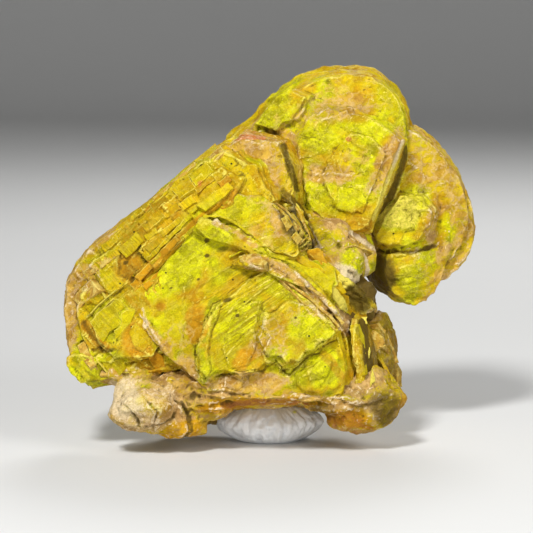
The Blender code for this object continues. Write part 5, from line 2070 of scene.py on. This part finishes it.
@dataclass
class UpperMass(Growth):
    """The dome over the front slab, the saddle behind it and the neck that leads to the right."""

    name: str = "upper_mass"
    books: Books = (
        Book("dome", ((-4.2, 13.8), (-3, 15), (-1.4, 15.5), (0.4, 15.2), (1.9, 14.1), (2.8, 12.6),
            (2.8, 11.1), (1.1, 11.3), (-1.9, 12.6)), -3.9, 1.7, 2, 18, inset=0.5, slide=(-0.5, -0.1),
            bow=0.8, rounded=True, leaf=0.24),
        Book("saddle", ((-3.2, 16.9), (-2.5, 18.4), (-1.5, 19.2), (1, 18.7), (2, 17), (2.1, 14.8),
            (2.3, 12.7), (0.6, 13), (-1.6, 14.4)), -1.9, 3.2, -6, 10, inset=0.4, slide=(-0.2, -0.2),
            ragged=0.15),
        Book("square_plate", ((0.5, 18.5), (1.2, 19.3), (2.3, 18.1), (1.7, 16.9)), -2.3, 1.6, -20, 4),
        Book("neck", ((2.4, 13.6), (4.7, 12.7), (6.3, 11.9), (6.2, 10.6), (5.9, 9.3), (5.2, 8.8),
            (3.8, 9.4), (2.4, 11)), -0.3, 2.6, 8, -12, inset=0.7, ragged=0.2),
        Book("neck_ribbon", ((3.3, 11.3), (4, 11), (4.7, 10.5), (5.4, 9.9), (5.9, 9.4), (5.8, 9.1),
            (5.1, 9.2), (4.4, 9.6), (3.8, 10.2)), -2.3, 0.6, 10, 32, bow=0.1),
        Book("neck_ribbon_under", ((3.5, 10.5), (4.3, 10), (5, 9.5), (5.9, 9.2), (5.7, 8.8), (4.9, 9),
            (4.2, 9.3)), -2.2, 0.5, 10, -10),
    )
    lumps: tuple[Lump, ...] = (
        Lump("core_bridge", (3.4, 12.4), 2.4, (3.2, 3.2, 1.9), relief=0.3),
        Lump("neck_bulge", (4.4, 11), -0.5, (1.45, 1.9, 1.4), relief=0.12, turn=-10),
        Lump("neck_shoulder", (3.6, 12.6), -0.4, (1.7, 1.3, 1.4), relief=0.15),
    )
    stains: Marks = (
        Patch(COMBED, (1.7, 13), (1.5, 2.2), 35),
        *ovals(LIME, (-1.8, 14.5, 2.6, 1.6, 20, 0.7), (-0.2, 16.9, 1, 0.5, 20, 0.6),
            (5.1, 11, 0.9, 1.2, 10), (3.8, 12.1, 0.9, 0.8, 0, 0.6)),
        # The dome's darker right end, a painted shadow beside it, and painted shade in the dark cavity
        # under the neck.
        *ovals(DARK, (1.8, 13.1, 0.9, 2.1, 35, 0.8), (3, 12.8, 0.7, 0.7, 0, 0.35),
            (5.3, 8.8, 0.9, 1.2, -20, 1, 0.1)),
        *ovals(TAN, (1, 13.6, 1.4, 1.8, 35, 0.5), (0.7, 13.4, 0.7, 1, 35, 0.9),
            (-1, 16.9, 2.6, 2.4, 0, 0.8), (4.2, 12.2, 1.6, 1, 0, 0.45)),
        *ovals(ORANGE, (-1, 15.6, 1.4, 0.5, 30, 0.5), (1.6, 18.2, 0.9, 0.8, 40, 0.7),
            (3.4, 11, 0.4, 0.6, 30, 0.8)),
        Patch(RUST, (-0.8, 19.1), (0.8, 0.5), 20, 0.55),
        Patch(CREAM_AND_HIGHLIGHT, (4.5, 10.2), (1.3, 0.8), -20),
        # Along the dome's top: a pale rim that is partly painted highlight, then a painted shadow line on
        # the right and painted shade in the crevice above.
        Streak(CREAM_AND_HIGHLIGHT, ((-3, 15), (-1.4, 15.5), (0.2, 15.2), (1.4, 14.4), (2.2, 13)), 0.2, 0.6),
        Streak(DARK, ((1, 15.2), (1.9, 14.4), (2.6, 13.2), (3, 12)), 0.25, 0.7),
        Streak(DARK, ((1, 17.9), (1.4, 16.6), (1.8, 15.4)), 0.3, 0.8),
        Streak(RUST, ((-2.2, 18.3), (-1.3, 18.5), (-0.2, 18.4)), 0.22, 0.9),
        Streak(CREAM_AND_HIGHLIGHT, ((5.9, 11.5), (6.1, 10.6), (5.9, 9.6)), 0.16, 0.9),
        Streak(CREAM_AND_HIGHLIGHT, ((5, 12.8), (6.4, 11.9), (7.1, 11.6)), 0.18, 0.8),
    )
    reliefs: Reliefs = (
        *terraces(((-0.24, 15.18), (0.54, 14.94), (1.44, 14.34), (2.04, 13.44), (2.46, 12.48),
            (2.7, 11.76)), (-0.3, 14.7), 5, 0.12, 0.14),
        Flake(((-2.6, 17.8), (-1.6, 18.4), (-0.2, 18), (-0.5, 16.9), (-1.8, 16.6)), 0.12, 0.1),
        Flake(((-0.6, 16.7), (0.5, 17.3), (1.3, 16.4), (1.1, 15.4), (-0.1, 15.6)), 0.14, 0.1),
        Flake(((-2, 16.2), (-1.1, 16.6), (-0.6, 15.7), (-1.6, 15.4)), -0.1, 0.1),
        Fold(((1.2, 17.8), (1.4, 16.6), (2, 15.5), (2.3, 14.5)), 0.14, -0.2, 0.1),
        Fold(((4.9, 9.2), (5.4, 8.5), (5.7, 7.8)), 0.4, -0.6, 0.1),
        Fold(((4.9, 10.5), (5.3, 10.2), (5.6, 9.7)), 0.14, -0.2, 0.08),
    )
    cleavage: Cleavage = Cleavage(yaw=2, pitch=14, turn=20, brick=(1.5, 0.9), brick_rise=0.07, comb=0.3)
    grain: float = 0.085
    seed: int = 7
    lime_share: float = 0.3
    crusted: float = 0.6


@dataclass
class DomeShells(Slates):
    """The thin shells and the short rods at the dome's broken end."""

    name: str = "dome_shells"
    ground: tuple[str, ...] = ("upper_mass",)
    plates: Plates = (
        Plate(((-0.48, 15.18), (0, 15.18), (0.6, 15), (1.2, 14.7), (1.68, 14.28), (2.04, 13.74),
            (2.34, 13.02), (2.58, 12.24)), 0.05, 0.18, 0.5, TAN),
        Plate(((-0.12, 15), (0.42, 14.82), (1.02, 14.46), (1.5, 13.98), (1.86, 13.38), (2.16, 12.6)), 0.08,
            0.16, 0.7, COMBED),
        Plate(((0.12, 14.7), (0.66, 14.46), (1.2, 14.04), (1.62, 13.5), (1.92, 12.9)), 0.1, 0.18, 0.6, TAN),
        Plate(((0.36, 14.4), (0.84, 14.1), (1.26, 13.68), (1.56, 13.2)), 0.12, 0.16, 0.8, COMBED),
        Plate(((0.84, 13.56), (1.14, 13.8), (1.56, 13.2), (1.26, 12.78)), 0.12, 0, 0.5, COMBED),
        Plate(((1.44, 12.48), (1.74, 12.84), (2.16, 12.36), (1.8, 12)), 0.12, 0, 0.8, COMBED),
        Plate(((1.86, 12), (2.16, 12.3), (2.4, 12.54)), 0.2, 0.12, 0.2, TAN),
        Plate(((1.98, 11.82), (2.28, 12.06), (2.52, 12.3)), 0.2, 0.12, 0.2, CREAM_AND_HIGHLIGHT),
        Plate(((2.1, 11.64), (2.4, 11.88), (2.64, 12.12)), 0.2, 0.12, 0.2, TAN),
    )
    stains: Marks = (
        Patch(TAN, (1.7, 13), (1.5, 2.2), 35, 0.6),
        Patch(DARK, (1.7, 13.1), (1, 2.2), 35, 0.3),
    )
    cleavage: Cleavage = Cleavage(yaw=10, pitch=14, turn=-48)
    seed: int = 37
    lime_share: float = -0.1
    crusted: float = 0.3


@dataclass
class RearLobe(Growth):
    """The tall round lobe behind, blotched with tan."""

    name: str = "rear_lobe"
    books: Books = (
        Book("rear_disc", ((-2.3, 18.2), (-0.8, 19.9), (0.6, 21.3), (2.2, 22.4), (4.4, 23.1), (6.8, 22.9),
            (8.5, 21.4), (9.2, 19.2), (8.8, 16.6), (7.6, 14.2), (5.6, 12), (2.8, 12.6), (-0.4, 14.6)), 1.3,
            2.8, 5, 8, inset=0.8, slide=(0.1, -0.15), bow=0.9, rounded=True),
        Book("rear_leaf", ((1.6, 18.4), (2.2, 19.8), (3.6, 20.8), (5.4, 20.4), (7.1, 19.5), (8.4, 18.4),
            (7.4, 15.8), (6.3, 12.8), (4.4, 12.5), (2.6, 13.9), (1.8, 15.7)), 0.4, 1.7, -5, 9, inset=0.25),
        Book("rear_step", ((2.6, 16), (3.4, 17.4), (5, 19.4), (6.6, 19), (7.7, 17.8), (6.8, 15.4),
            (5.9, 13.2), (4, 13.6)), 0.1, 1.4, -7, 9),
        Book("rear_shoulder", ((-1.3, 19.2), (0.2, 21.1), (1.6, 21.9), (3.1, 21.4), (2, 19.6),
            (0.4, 18.6)), 0.9, 1.6, -14, 20, inset=0.4, ragged=0.2),
        Book("back_disc", ((-0.8, 18.4), (1.2, 21), (4.6, 22.2), (7.6, 20.8), (8.4, 17.2), (6.8, 14),
            (3, 13), (0, 14.9)), 5.5, 2.6, 184, -6, inset=0.9, slide=(0.3, 0.1), bow=0.5, rounded=True),
        Book("back_disc_leaf", ((1.4, 15), (0.7, 17.9), (2.8, 20.7), (5.8, 21.3), (6.2, 18.8), (7.9, 17),
            (5.9, 14.3), (3.6, 15.3)), 6.2, 1.6, 178, -8, inset=0.5, slide=(0.6, -0.4), ragged=0.35),
    )
    lumps: tuple[Lump, ...] = (
        Lump("core_top", (2.6, 16.4), 2.6, (4.2, 4.4, 1.7), relief=0.3),
    )
    stains: Marks = (
        *ovals(LIME, (3.2, 18.4, 1.5, 1.1, 0, 0.9), (5.5, 15.2, 1.6, 1, 10, 0.85),
            (4.1, 14.4, 1.4, 0.7, 0, 0.7), (0.7, 20.9, 1.2, 0.7, 35, 0.8), (7.4, 21.2, 1.1, 1.2, 0, 0.55),
            (5.2, 19.6, 1, 0.5, 0, 0.4)),
        *ovals(TAN, (4.4, 20.3, 2.2, 0.9, 10, 0.7), (3.8, 16.3, 1.9, 0.7, 0, 0.85),
            (2.8, 12.8, 1.3, 1.2, 0, 0.75), (7.2, 17.2, 0.7, 2.6, -24, 0.8), (2, 19.7, 0.9, 0.6, 30, 0.6)),
        *ovals(ORANGE, (2.3, 21.4, 1, 0.5, 30, 0.6), (5.3, 19.9, 1.3, 0.5, 0, 0.45)),
        *ovals(RUST, (4.9, 18.4, 0.2, 0.16, 0, 1, 0.2), (4.3, 16.1, 0.5, 0.2, 0, 0.5, 0.4)),
        # The right edge of the front leaf: a painted highlight along it and a painted shadow beside it.
        Streak(CREAM_AND_HIGHLIGHT, ((8.2, 18.3), (7.3, 16), (6.4, 13.6)), 0.16, 0.8),
        Streak(DARK, ((8.5, 17.9), (7.8, 15.7), (6.8, 13.4)), 0.3, 0.8),
    )
    reliefs: Reliefs = (
        Flake(((1.6, 19.6), (2.6, 20.8), (4, 20.3), (3.6, 18.8), (2, 18.5)), 0.08, 0.15),
        Flake(((3.8, 17.8), (5, 18.4), (6, 17.6), (5.4, 16.4), (4.2, 16.4)), -0.08, 0.15),
        Flake(((2, 17.2), (3.4, 17.8), (3.8, 16.6), (2.8, 15.7)), -0.07, 0.15),
        Flake(((4.4, 15.4), (5.6, 15.7), (6, 14.5), (5, 13.8), (4.2, 14.3)), 0.08, 0.15),
        Flake(((4.7, 21.2), (6.4, 21.7), (7.3, 20.5), (6.4, 19.3), (5, 19.8)), -0.08, 0.15),
        Fold(((1.9, 18.4), (3.6, 19.7), (5.2, 20.2)), 0.12, 0.09, 0.15),
        Fold(((1.8, 16.6), (3.2, 16.2), (5, 16.2), (6.1, 16.8)), 0.14, 0.08, 0.2),
    )
    cleavage: Cleavage = Cleavage(yaw=0, pitch=8, turn=-20, brick=(1.8, 1.2), brick_rise=0.05, comb=0.36)
    grain: float = 0.092
    seed: int = 11
    lime_share: float = 0.4
    crusted: float = 0.6


@dataclass
class FarLobe(Growth):
    """The round lobe at the far right and the toe under it."""

    name: str = "far_lobe"
    books: Books = (
        Book("far_disc", ((7.6, 19.4), (9.6, 19.5), (12.1, 17.1), (13.3, 13.8), (12.4, 10.7), (9.6, 9.2),
            (6.8, 10.6), (6.2, 13.6), (6.8, 17)), 3.2, 2.6, 12, 2, inset=0.7, slide=(-0.2, 0.05), bow=0.8,
            rounded=True),
        Book("far_leaf", ((6.2, 12.2), (6.8, 14), (7.8, 15.5), (9.6, 15.3), (10.4, 14.3), (10.3, 13.2),
            (9.6, 12.3), (8.2, 11.7), (7, 11.6)), 2.2, 1.6, -5, 4, inset=0.35),
        Book("far_toe", ((7, 11.7), (9.2, 12.1), (11.6, 11.6), (11.4, 9.4), (10.1, 7.8), (8.6, 7.5),
            (7, 8.8), (6.7, 10.6)), 3.4, 3, 14, -14, inset=0.7, slide=(0, 0.2), bow=0.5, rounded=True),
        Book("back_far_disc", ((7.4, 17.4), (9.6, 17.9), (11.8, 15.6), (12.3, 12.6), (10.6, 10.2),
            (7.8, 10.2), (6.4, 13.4)), 7.2, 2.6, 190, -2, inset=0.8, slide=(-0.9, 0.5), bow=0.4,
            rounded=True),
    )
    lumps: tuple[Lump, ...] = (
        Lump("core_far", (8.6, 13.4), 4.4, (2.8, 4, 1.2), relief=0.2),
    )
    stains: Marks = (
        *ovals(LIME, (7.9, 13.9, 1.6, 1.2), (9.1, 14.8, 1.2, 1.2, 0, 0.8), (8.8, 10.2, 1.2, 1.1, 0, 0.9)),
        # Pale patches: partly the lobe's own pale colour, partly painted light.
        *ovals(CREAM_AND_HIGHLIGHT, (7.9, 14, 1.6, 1.1, 0, 0.65), (9.2, 14.6, 1, 1, 0, 0.4)),
        *ovals(TAN, (9.8, 16.6, 1.8, 1.4, -50, 0.6), (10, 13.3, 0.5, 1.4, 0, 0.8),
            (10.3, 9, 1.1, 0.6, 30, 0.8)),
        Patch(ORANGE, (10.9, 14.8), (1, 2), 0, 0.25),
        # Painted shade in the dark gap beside the neck and in the crack under the far leaf.
        Patch(DARK, (6.8, 10.2), (1.3, 1.9), 0, 1),
        Streak(DARK, ((7.3, 11.6), (9.2, 11.7), (10.3, 12)), 0.18, 0.7),
        Streak(TAN, ((9.4, 18.8), (11.3, 16.6), (12.4, 13.9), (11.9, 11.4), (10.9, 9.7)), 1.1, 0.62),
    )
    reliefs: Reliefs = (
        Flake(((6.4, 12.8), (7.1, 14.5), (8.2, 14.3), (8.6, 13.2), (7.9, 12.1), (6.8, 12.1)), 0.1, 0.08),
        Fold(((6.7, 11.7), (7.9, 11.7), (9.2, 11.8), (10.2, 12.1)), 0.14, -0.25, 0.08),
        Fold(((8, 17.8), (9.2, 16.9), (10.1, 15.4), (10.4, 13.9)), 0.4, 0.08, 0.2),
        Flake(((8.3, 17.2), (9.5, 16.4), (9.8, 15.2), (8.9, 15), (8.3, 16)), -0.08, 0.15),
    )
    cleavage: Cleavage = Cleavage(yaw=12, pitch=0, turn=15, brick=(1.6, 1.0), brick_rise=0.06, comb=0.3)
    grain: float = 0.092
    seed: int = 13
    lime_share: float = 0.3
    crusted: float = 0.5


@dataclass
class RightBook(Growth):
    """The dark book of leaves on the right, seen from its edge, and the leaves at the back of it."""

    name: str = "right_book"
    books: Books = (
        Book("right_book", tablet(7.2, 6.6, 1.9), 1.2, 4, 72, 6, inset=1.3, bow=0.9, rounded=True,
            middle=(7.8, 5.9)),
        Book("right_page_inner", tablet(4.6, 6, 1.3), 0.3, 0.35, 58, 2, bow=0.8, rounded=True,
            middle=(5.6, 5.3)),
        Book("right_page_outer", tablet(4.4, 5.4, 1.2), -1.2, 0.35, 76, 6, bow=0.8, rounded=True,
            middle=(6.6, 5.1)),
        Book("throat_lens", ((5.2, 9.2), (5.8, 9.1), (6.4, 8.7), (6.9, 8.2), (6.9, 7.8), (6.5, 7.5),
            (5.9, 7.3), (5.4, 7.6)), -1.6, 0.7, 28, -16, bow=0.3, rounded=True),
        Book("back_right", ((1, 4), (0.4, 7.4), (2.6, 10.4), (5.6, 9.8), (7.4, 6.8), (7.2, 3.4), (4.6, 3)),
            3.6, 3.4, 164, 4, inset=1, slide=(-0.2, 0.3), bow=0.6),
    )
    stains: Marks = (
        # Painted shade over the book, which sits in shadow, and in the dark cavity at its top left.
        *ovals(DARK, (7.1, 6.1, 1.6, 3, 0, 0.6), (5.5, 8.9, 0.9, 1.1, 0, 0.9)),
        *ovals(TAN, (6.5, 7.8, 0.6, 0.5, 0, 0.9), (7.2, 5.2, 1.2, 2.2, 0, 0.6)),
        Patch(CREAM_AND_HIGHLIGHT, (5.8, 8.1), (0.35, 0.25), 0, 0.9),
        *ovals(ORANGE, (6.5, 7, 0.6, 1, 0, 0.4), (3.6, 1.9, 2.4, 1)),
        # Painted shade in the dark gap between the book's leaves.
        Streak(DARK, ((5.7, 7.4), (5.9, 6), (6.2, 4.2)), 0.4, 0.95),
    )
    reliefs: Reliefs = (
        Fold(((6.8, 7.7), (7.1, 6.1), (7.6, 4.3)), 0.3, 0.16, 0.1),
        Fold(((6.4, 7.4), (6.6, 5.8), (7, 3.7)), 0.2, -0.18, 0.1),
        Flake(((6.4, 8.2), (7, 8.4), (7.3, 7.4), (6.8, 7)), 0.16, 0.05),
    )
    cleavage: Cleavage = Cleavage(yaw=72, pitch=6, turn=90, brick=(1.6, 0.7), brick_rise=0.06, comb=0.3)
    grain: float = 0.095
    seed: int = 17
    lime_share: float = 0.2
    crusted: float = 0.5


@dataclass
class RightLeaves(Slates):
    """The twisted pale leaves of the neck and the slivers that stand in the book on the right."""

    name: str = "right_leaves"
    ground: tuple[str, ...] = ("right_book", "upper_mass", "inner_crust", "base_crust", "rear_lobe")
    plates: Plates = (
        Plate(((4.7, 11.9), (5.3, 12), (5.9, 11.8), (6.4, 11.6)), 0.1, 0.16, 0.3, TAN),
        Plate(((5.6, 7.8), (6, 7.9), (6.1, 7.4), (5.7, 7.3)), 0.16, 0, 0, CREAM_AND_HIGHLIGHT),
        Plate(((5.3, 7.4), (5.5, 7.4), (5.8, 6.7), (5.9, 5.8), (6, 4.4), (5.8, 4.4), (5.5, 6.1)), 0.08, 0,
            0.6, LIME),
        Plate(((6.1, 6), (6.2, 5.8), (6.1, 5.3), (6, 5.4)), 0.1, 0, 0, CREAM_AND_HIGHLIGHT),
        Plate(((6.2, 4.8), (6.4, 4.5), (6.4, 4), (6.2, 3.7), (6.1, 4)), 0.1, 0, 0, CREAM_AND_HIGHLIGHT),
        Plate(((6.2, 6.9), (6.6, 7), (7, 6.6), (7.1, 6.1), (6.8, 5.8), (6.5, 5.7), (6.3, 6.3)), 0.16, 0,
            0.4, TAN, bow=0.25, rounded=True),
        Plate(((6.6, 5.6), (7, 4.9), (7.4, 4.2), (7.5, 3.6)), 0.12, 0.24, 0.6, COMBED),
        Plate(((7.1, 6), (7.6, 5.3), (8, 4.4), (8, 3.5)), 0.14, 0.27, 0.2, TAN),
        Plate(((6.7, 7.4), (7.2, 6.7), (7.6, 5.8), (7.9, 5)), 0.1, 0.18, 0.6, TAN),
    )
    stains: Marks = (
        # Painted shade in the gap beside the lime sliver.
        Streak(DARK, ((5.3, 7.2), (5.5, 6.2), (5.7, 4.8)), 0.16, 0.6),
    )
    cleavage: Cleavage = Cleavage(yaw=40, pitch=6, turn=80)
    seed: int = 41
    lime_share: float = 0.1
    crusted: float = 0.3


@dataclass
class BaseCrust(Growth):
    """The lumpy crust that the leaves grow from, pressed on the putty."""

    name: str = "base_crust"
    lumps: tuple[Lump, ...] = (
        Lump("left_knob", (-7, 2.5), -2.6, (2.2, 1.8, 2), relief=0.35),
        Lump("left_knob_heel", (-5.2, 1.5), -1.8, (1.9, 1.1, 1.7), relief=0.28),
        Lump("base_front", (0.6, 3.3), -2.4, (5.6, 0.8, 1.9), relief=0.25),
        Lump("base_left_shin", (-3.4, 2.6), -2.2, (1.6, 1.1, 1.4), relief=0.25),
        Lump("base_middle", (-1, 3.6), 1.4, (6.4, 1.5, 3.3), relief=0.35),
        Lump("right_heel", (5.6, 2.9), -0.9, (2.5, 2, 2.6), relief=0.22, turn=10),
        Lump("heel_brow", (4.1, 2.8), -2.6, (2, 0.9, 1.7), relief=0.25),
        Lump("back_heel", (-3.6, 2.5), 3.2, (2.6, 1.4, 1.6), relief=0.35),
        Lump("back_knob", (3, 3.7), 3.6, (2.4, 1.4, 1.5), relief=0.35),
        Lump("waist_crust", (-2.4, 3.9), -3.1, (2.2, 0.9, 1), relief=0.3),
        Lump("under_left", (-8.2, 4.6), -1.2, (2.4, 1, 1.4), relief=0.3),
        Lump("throat_crust", (-5.2, 3.6), -2.5, (1.6, 1, 1), relief=0.3),
        Lump("knob_bridge", (-5.6, 2.6), -2.6, (1.3, 1, 1.3), relief=0.3),
    )
    stains: Marks = (
        *ovals(CREAM_AND_HIGHLIGHT, (-8.3, 2.9, 1.4, 1.6, 0, 0.8), (-6.4, 3.1, 1.2, 1, 0, 0.5),
            (-7.4, 1.7, 1.5, 1, 0, 0.5)),
        *ovals(TAN, (-6.1, 1.6, 1.6, 1.2, 0, 0.4), (5.4, 3.9, 1.8, 0.9, 0, 0.9)),
        # Painted shade on the underside of the base beside the putty, and a darker patch on the right heel.
        *ovals(DARK, (2.2, 1.6, 1.9, 0.6, 0, 0.5), (3.4, 2.2, 1.1, 0.5, -20, 0.6),
            (7, 2.4, 1.2, 1.4, -15, 0.75)),
        *ovals(LIME, (-6.8, 2.6, 0.25, 0.15, 20, 0.9), (-0.2, 3.7, 1.8, 0.5, 0, 0.5),
            (5, 3.4, 1.8, 0.7, 0, 0.45)),
        *ovals(ORANGE, (-4.9, 1.1, 1.8, 0.7, 15, 0.8), (-2.2, 2.6, 2.6, 0.5, 8, 0.8),
            (2, 2.8, 1.8, 0.4, 0, 0.8), (4.9, 1.8, 2, 0.7, -10, 0.95)),
        Patch(RUST, (4.6, 1.6), (2, 0.8), -10, 0.55, 0.6),
        Patch(COMBED, (7.4, 3.4), (0.7, 1.8), -15, 0.7),
        # Painted shade in the groove along the front, which also carries rust.
        Streak(DARK, ((-2.5, 2.6), (0, 2.8), (2.3, 2.8)), 0.25, 0.45),
        Streak(RUST, ((-2.5, 2.6), (0, 2.8), (2.3, 2.8)), 0.3, 0.7),
        # Painted shade in the knob's creases.
        Streak(DARK, ((-5, 2.8), (-4.5, 2), (-4.4, 1.1), (-4.9, 0.6)), 0.14, 0.8),
        Streak(DARK, ((-7.2, 1.3), (-6.2, 1.5), (-5.4, 1.9)), 0.08, 0.6),
    )
    reliefs: Reliefs = (
        Fold(((-5.2, 2.9), (-4.6, 2), (-4.4, 1.1), (-4.8, 0.5)), 0.13, -0.2, 0.1),
        Fold(((-7.2, 1.3), (-5.9, 1.5), (-5.3, 2)), 0.1, -0.12, 0.15),
        Fold(((-8.8, 2.9), (-7.9, 2.2), (-7.4, 1)), 0.14, -0.16, 0.25),
        Fold(((-7, 3.2), (-6.4, 2.3), (-6.6, 1.1)), 0.14, -0.14, 0.25),
        Fold(((-4.2, 2.5), (-2.2, 2.7), (-0.2, 2.7), (2, 2.8), (3.8, 2.5)), 0.2, -0.16, 0.2),
        Fold(((3.8, 3), (5.2, 2.5), (6.8, 2.9)), 0.16, -0.14, 0.25),
    )
    cleavage: Cleavage = Cleavage(pitch=0, turn=0)
    grain: float = 0.1
    seed: int = 19
    lime_share: float = 0.1
    crusted: float = 0.8


@dataclass
class InnerCrust(Growth):
    """The crust deep inside, which shows only through the gaps between the leaves."""

    name: str = "inner_crust"
    lumps: tuple[Lump, ...] = (
        Lump("core_left", (-5, 9), 0.2, (5.4, 4.6, 1.9), relief=0.3, turn=42),
        Lump("core_right", (2, 8), 0, (3.9, 4.9, 3.1), relief=0.3),
        Lump("throat", (5.8, 8.7), -0.1, (0.9, 1.3, 1.1), relief=0.3),
    )
    cleavage: Cleavage = Cleavage(pitch=0, turn=0)
    stains: Marks = (
        # Painted shade: the throat between the leaves is darkened as if in shadow.
        Patch(DARK, (5.7, 8.8), (1.4, 2), 0, 0.95),
    )
    grain: float = 0.15
    seed: int = 23
    lime_share: float = 0.1
    crusted: float = 0.8


@dataclass
class PuttyPad:
    """The small pad of white mounting putty under the cluster."""

    name: str = "mounting_pad"
    width: float = 6.1
    depth: float = 5.0
    height: float = 2.45
    top_share: float = 0.55
    waves: Point = (6.0, 1.1)
    folds: Swell = Swell(0.9, 4, 2.2)
    fold_depth: float = 0.21
    creases: Swell = Swell(0.9, 2, 5.0)
    crease_depth: float = 0.10
    dents: Swell = Swell(1.1, 3, 0.07)
    dent_scale: float = 3.0
    seed: int = 28
    rings: int = 90
    sides: int = 220
    crumb_middle: Point = (1.68, 2.04)
    crumb_reach: Point = (0.16, 0.09)

    def build(self) -> bpy.types.Object:
        """Shapes the pad.

        Returns:
            The pad as one mesh object, in metres.
        """
        bm = bmesh.new()
        bmesh.ops.create_uvsphere(bm, u_segments=self.sides, v_segments=self.rings, radius=1.0)
        thing = linked(self.name, meshed(self.name, bm))
        surface = Surface(thing)
        crease = self._shape(surface)
        surface.write()
        stray = Swell(0.2, 2).over(surface.points, self.seed + 3)
        seen = Sight(*DRAWING.read(surface.points), stray)
        crumb = Patch(LIME, self.crumb_middle, self.crumb_reach, 20, 1.0, 0.5)
        surface.name_values("crumb", crumb.weigh(seen) * surface.facing_front(0.2, 0.5))
        surface.name_values("crease", crease)
        surface.points *= METRES_PER_MM
        surface.write()
        thing.data.shade_smooth()
        return thing

    def _shape(self, surface: Surface) -> Array:
        """Presses a unit ball into the pad's shape.

        Args:
            surface: The ball, whose points this moves.

        Returns:
            How deep in a crease each point lies, from 0 to 1.
        """
        ball = surface.points
        angle = np.arctan2(ball[:, 1], ball[:, 0])
        ring = np.hypot(ball[:, 0], ball[:, 1])
        about, up = self.waves
        around = np.stack((np.cos(angle) * about, np.sin(angle) * about, ball[:, 2] * up), axis=1)
        fold = self.folds.over(around, self.seed)
        fine = np.clip(1.0 - np.abs(self.creases.over(around, self.seed + 1)), 0.0, 1.0)
        out = (fold * self.fold_depth - fine * self.crease_depth) * ring**2
        out += self.dents.over(ball * self.dent_scale, self.seed + 2)
        surface.points = np.stack(
            (
                ball[:, 0] * (self.width / 2 + out),
                ball[:, 1] * (self.depth / 2 + out),
                ball[:, 2] * self.height * self.top_share + self.height * (1 - self.top_share),
            ),
            axis=1,
        )
        surface.points[:, 2] = np.maximum(surface.points[:, 2], 0.0)
        return np.clip(fine * 0.45 + ramp(-fold, 0.2, 1.2) * 0.4, 0.0, 1.0) * ring

    def dress(self, thing: bpy.types.Object) -> None:
        """Gives the pad its finish and its place in the frame.

        Args:
            thing: The pad.
        """
        PuttyFinish().apply(thing)
        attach(thing, "root")
        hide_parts("mounting_putty")


# ---- The studio ----


@dataclass(frozen=True)
class Lamp:
    """A soft square lamp that looks at the specimen."""

    name: str
    place: tuple[float, float, float]
    size: float
    watts: float

    def hang(self, target: Vector) -> None:
        """Adds the lamp to the studio.

        Args:
            target: What it is turned to.
        """
        data = bpy.data.lights.new(self.name, "AREA")
        data.size = self.size
        data.energy = self.watts
        lamp = linked(self.name, data)
        lamp.location = self.place
        lamp.rotation_euler = (target - Vector(self.place)).to_track_quat("-Z", "Y").to_euler()


@dataclass
class Studio:
    """The pale sweep, the soft lamps and the camera."""

    target: tuple[float, float, float] = (-0.00015, -0.00035, 0.0106)
    distance: float = 0.2
    elevation: float = math.radians(7.0)
    frame_width: float = 0.03198
    sensor: float = 36.0
    sweep_half: float = 0.6
    sweep_front: float = -0.5
    sweep_back: float = 0.25
    sweep_bend: float = 0.12
    sweep_steps: int = 24
    sky: float = 0.07
    lamps: tuple[Lamp, ...] = (
        Lamp("key_lamp", (-0.05, -0.145, 0.155), 0.035, 0.415),
        Lamp("fill_lamp", (0.14, -0.13, 0.10), 0.10, 0.19),
        Lamp("low_lamp", (-0.02, -0.19, 0.014), 0.06, 0.08),
        Lamp("rim_lamp", (0.03, 0.14, 0.12), 0.06, 0.12),
    )

    def build(self) -> None:
        """Lays the sweep, hangs the lamps and sets the camera and the view."""
        self._lay_sweep()
        for lamp in self.lamps:
            lamp.hang(Vector(self.target))
        self._set_camera()
        scene = bpy.context.scene
        scene.view_settings.view_transform = "Standard"
        world = bpy.data.worlds.new("studio_air")
        world.use_nodes = True
        air = world.node_tree.nodes["Background"].inputs
        air["Color"].default_value = (1.0, 1.0, 1.0, 1.0)
        air["Strength"].default_value = self.sky
        scene.world = world

    def _lay_sweep(self) -> None:
        """Makes the floor and the wall it curves up into."""
        profile = [(self.sweep_front, 0.0)]
        for step in range(self.sweep_steps + 1):
            angle = math.pi / 2 * step / self.sweep_steps
            rise = self.sweep_bend * (1 - math.cos(angle))
            profile.append((self.sweep_back + self.sweep_bend * math.sin(angle), rise))
        profile.append((self.sweep_back + self.sweep_bend, self.sweep_half))
        bm = bmesh.new()
        sides = [[bm.verts.new((x, y, z)) for y, z in profile] for x in (-self.sweep_half, self.sweep_half)]
        for k in range(len(profile) - 1):
            bm.faces.new((sides[0][k], sides[1][k], sides[1][k + 1], sides[0][k + 1]))
        sweep = linked("studio_sweep", meshed("studio_sweep", bm))
        sweep.data.shade_smooth()
        FloorFinish().apply(sweep)

    def _set_camera(self) -> None:
        """Sets the camera in front of the specimen and a little above it."""
        data = bpy.data.cameras.new("camera")
        data.sensor_width = self.sensor
        data.lens = self.sensor * self.distance / self.frame_width
        data.clip_start = METRES_PER_MM
        camera = linked("camera", data)
        away = Vector((0.0, -math.cos(self.elevation), math.sin(self.elevation)))
        camera.location = Vector(self.target) + away * self.distance
        camera.rotation_euler = (-away).to_track_quat("-Z", "Y").to_euler()
        bpy.context.scene.camera = camera


def main() -> None:
    """Builds every piece in order and reports it."""
    logging.basicConfig(level=logging.INFO, format="%(name)s: %(message)s")
    parts = (
        BaseCrust(), InnerCrust(), LeftSlab(), FrontSlab(), UpperMass(), RearLobe(), FarLobe(), RightBook(),
        LeftBlocks(), RidgeLeaves(), DomeShells(), RightLeaves(), PuttyPad(),
    )
    for part in parts:
        thing = part.build()
        part.dress(thing)
        LOG.info("%s has %d faces", thing.name, len(thing.data.polygons))
    Studio().build()


if __name__ == "__main__":
    main()
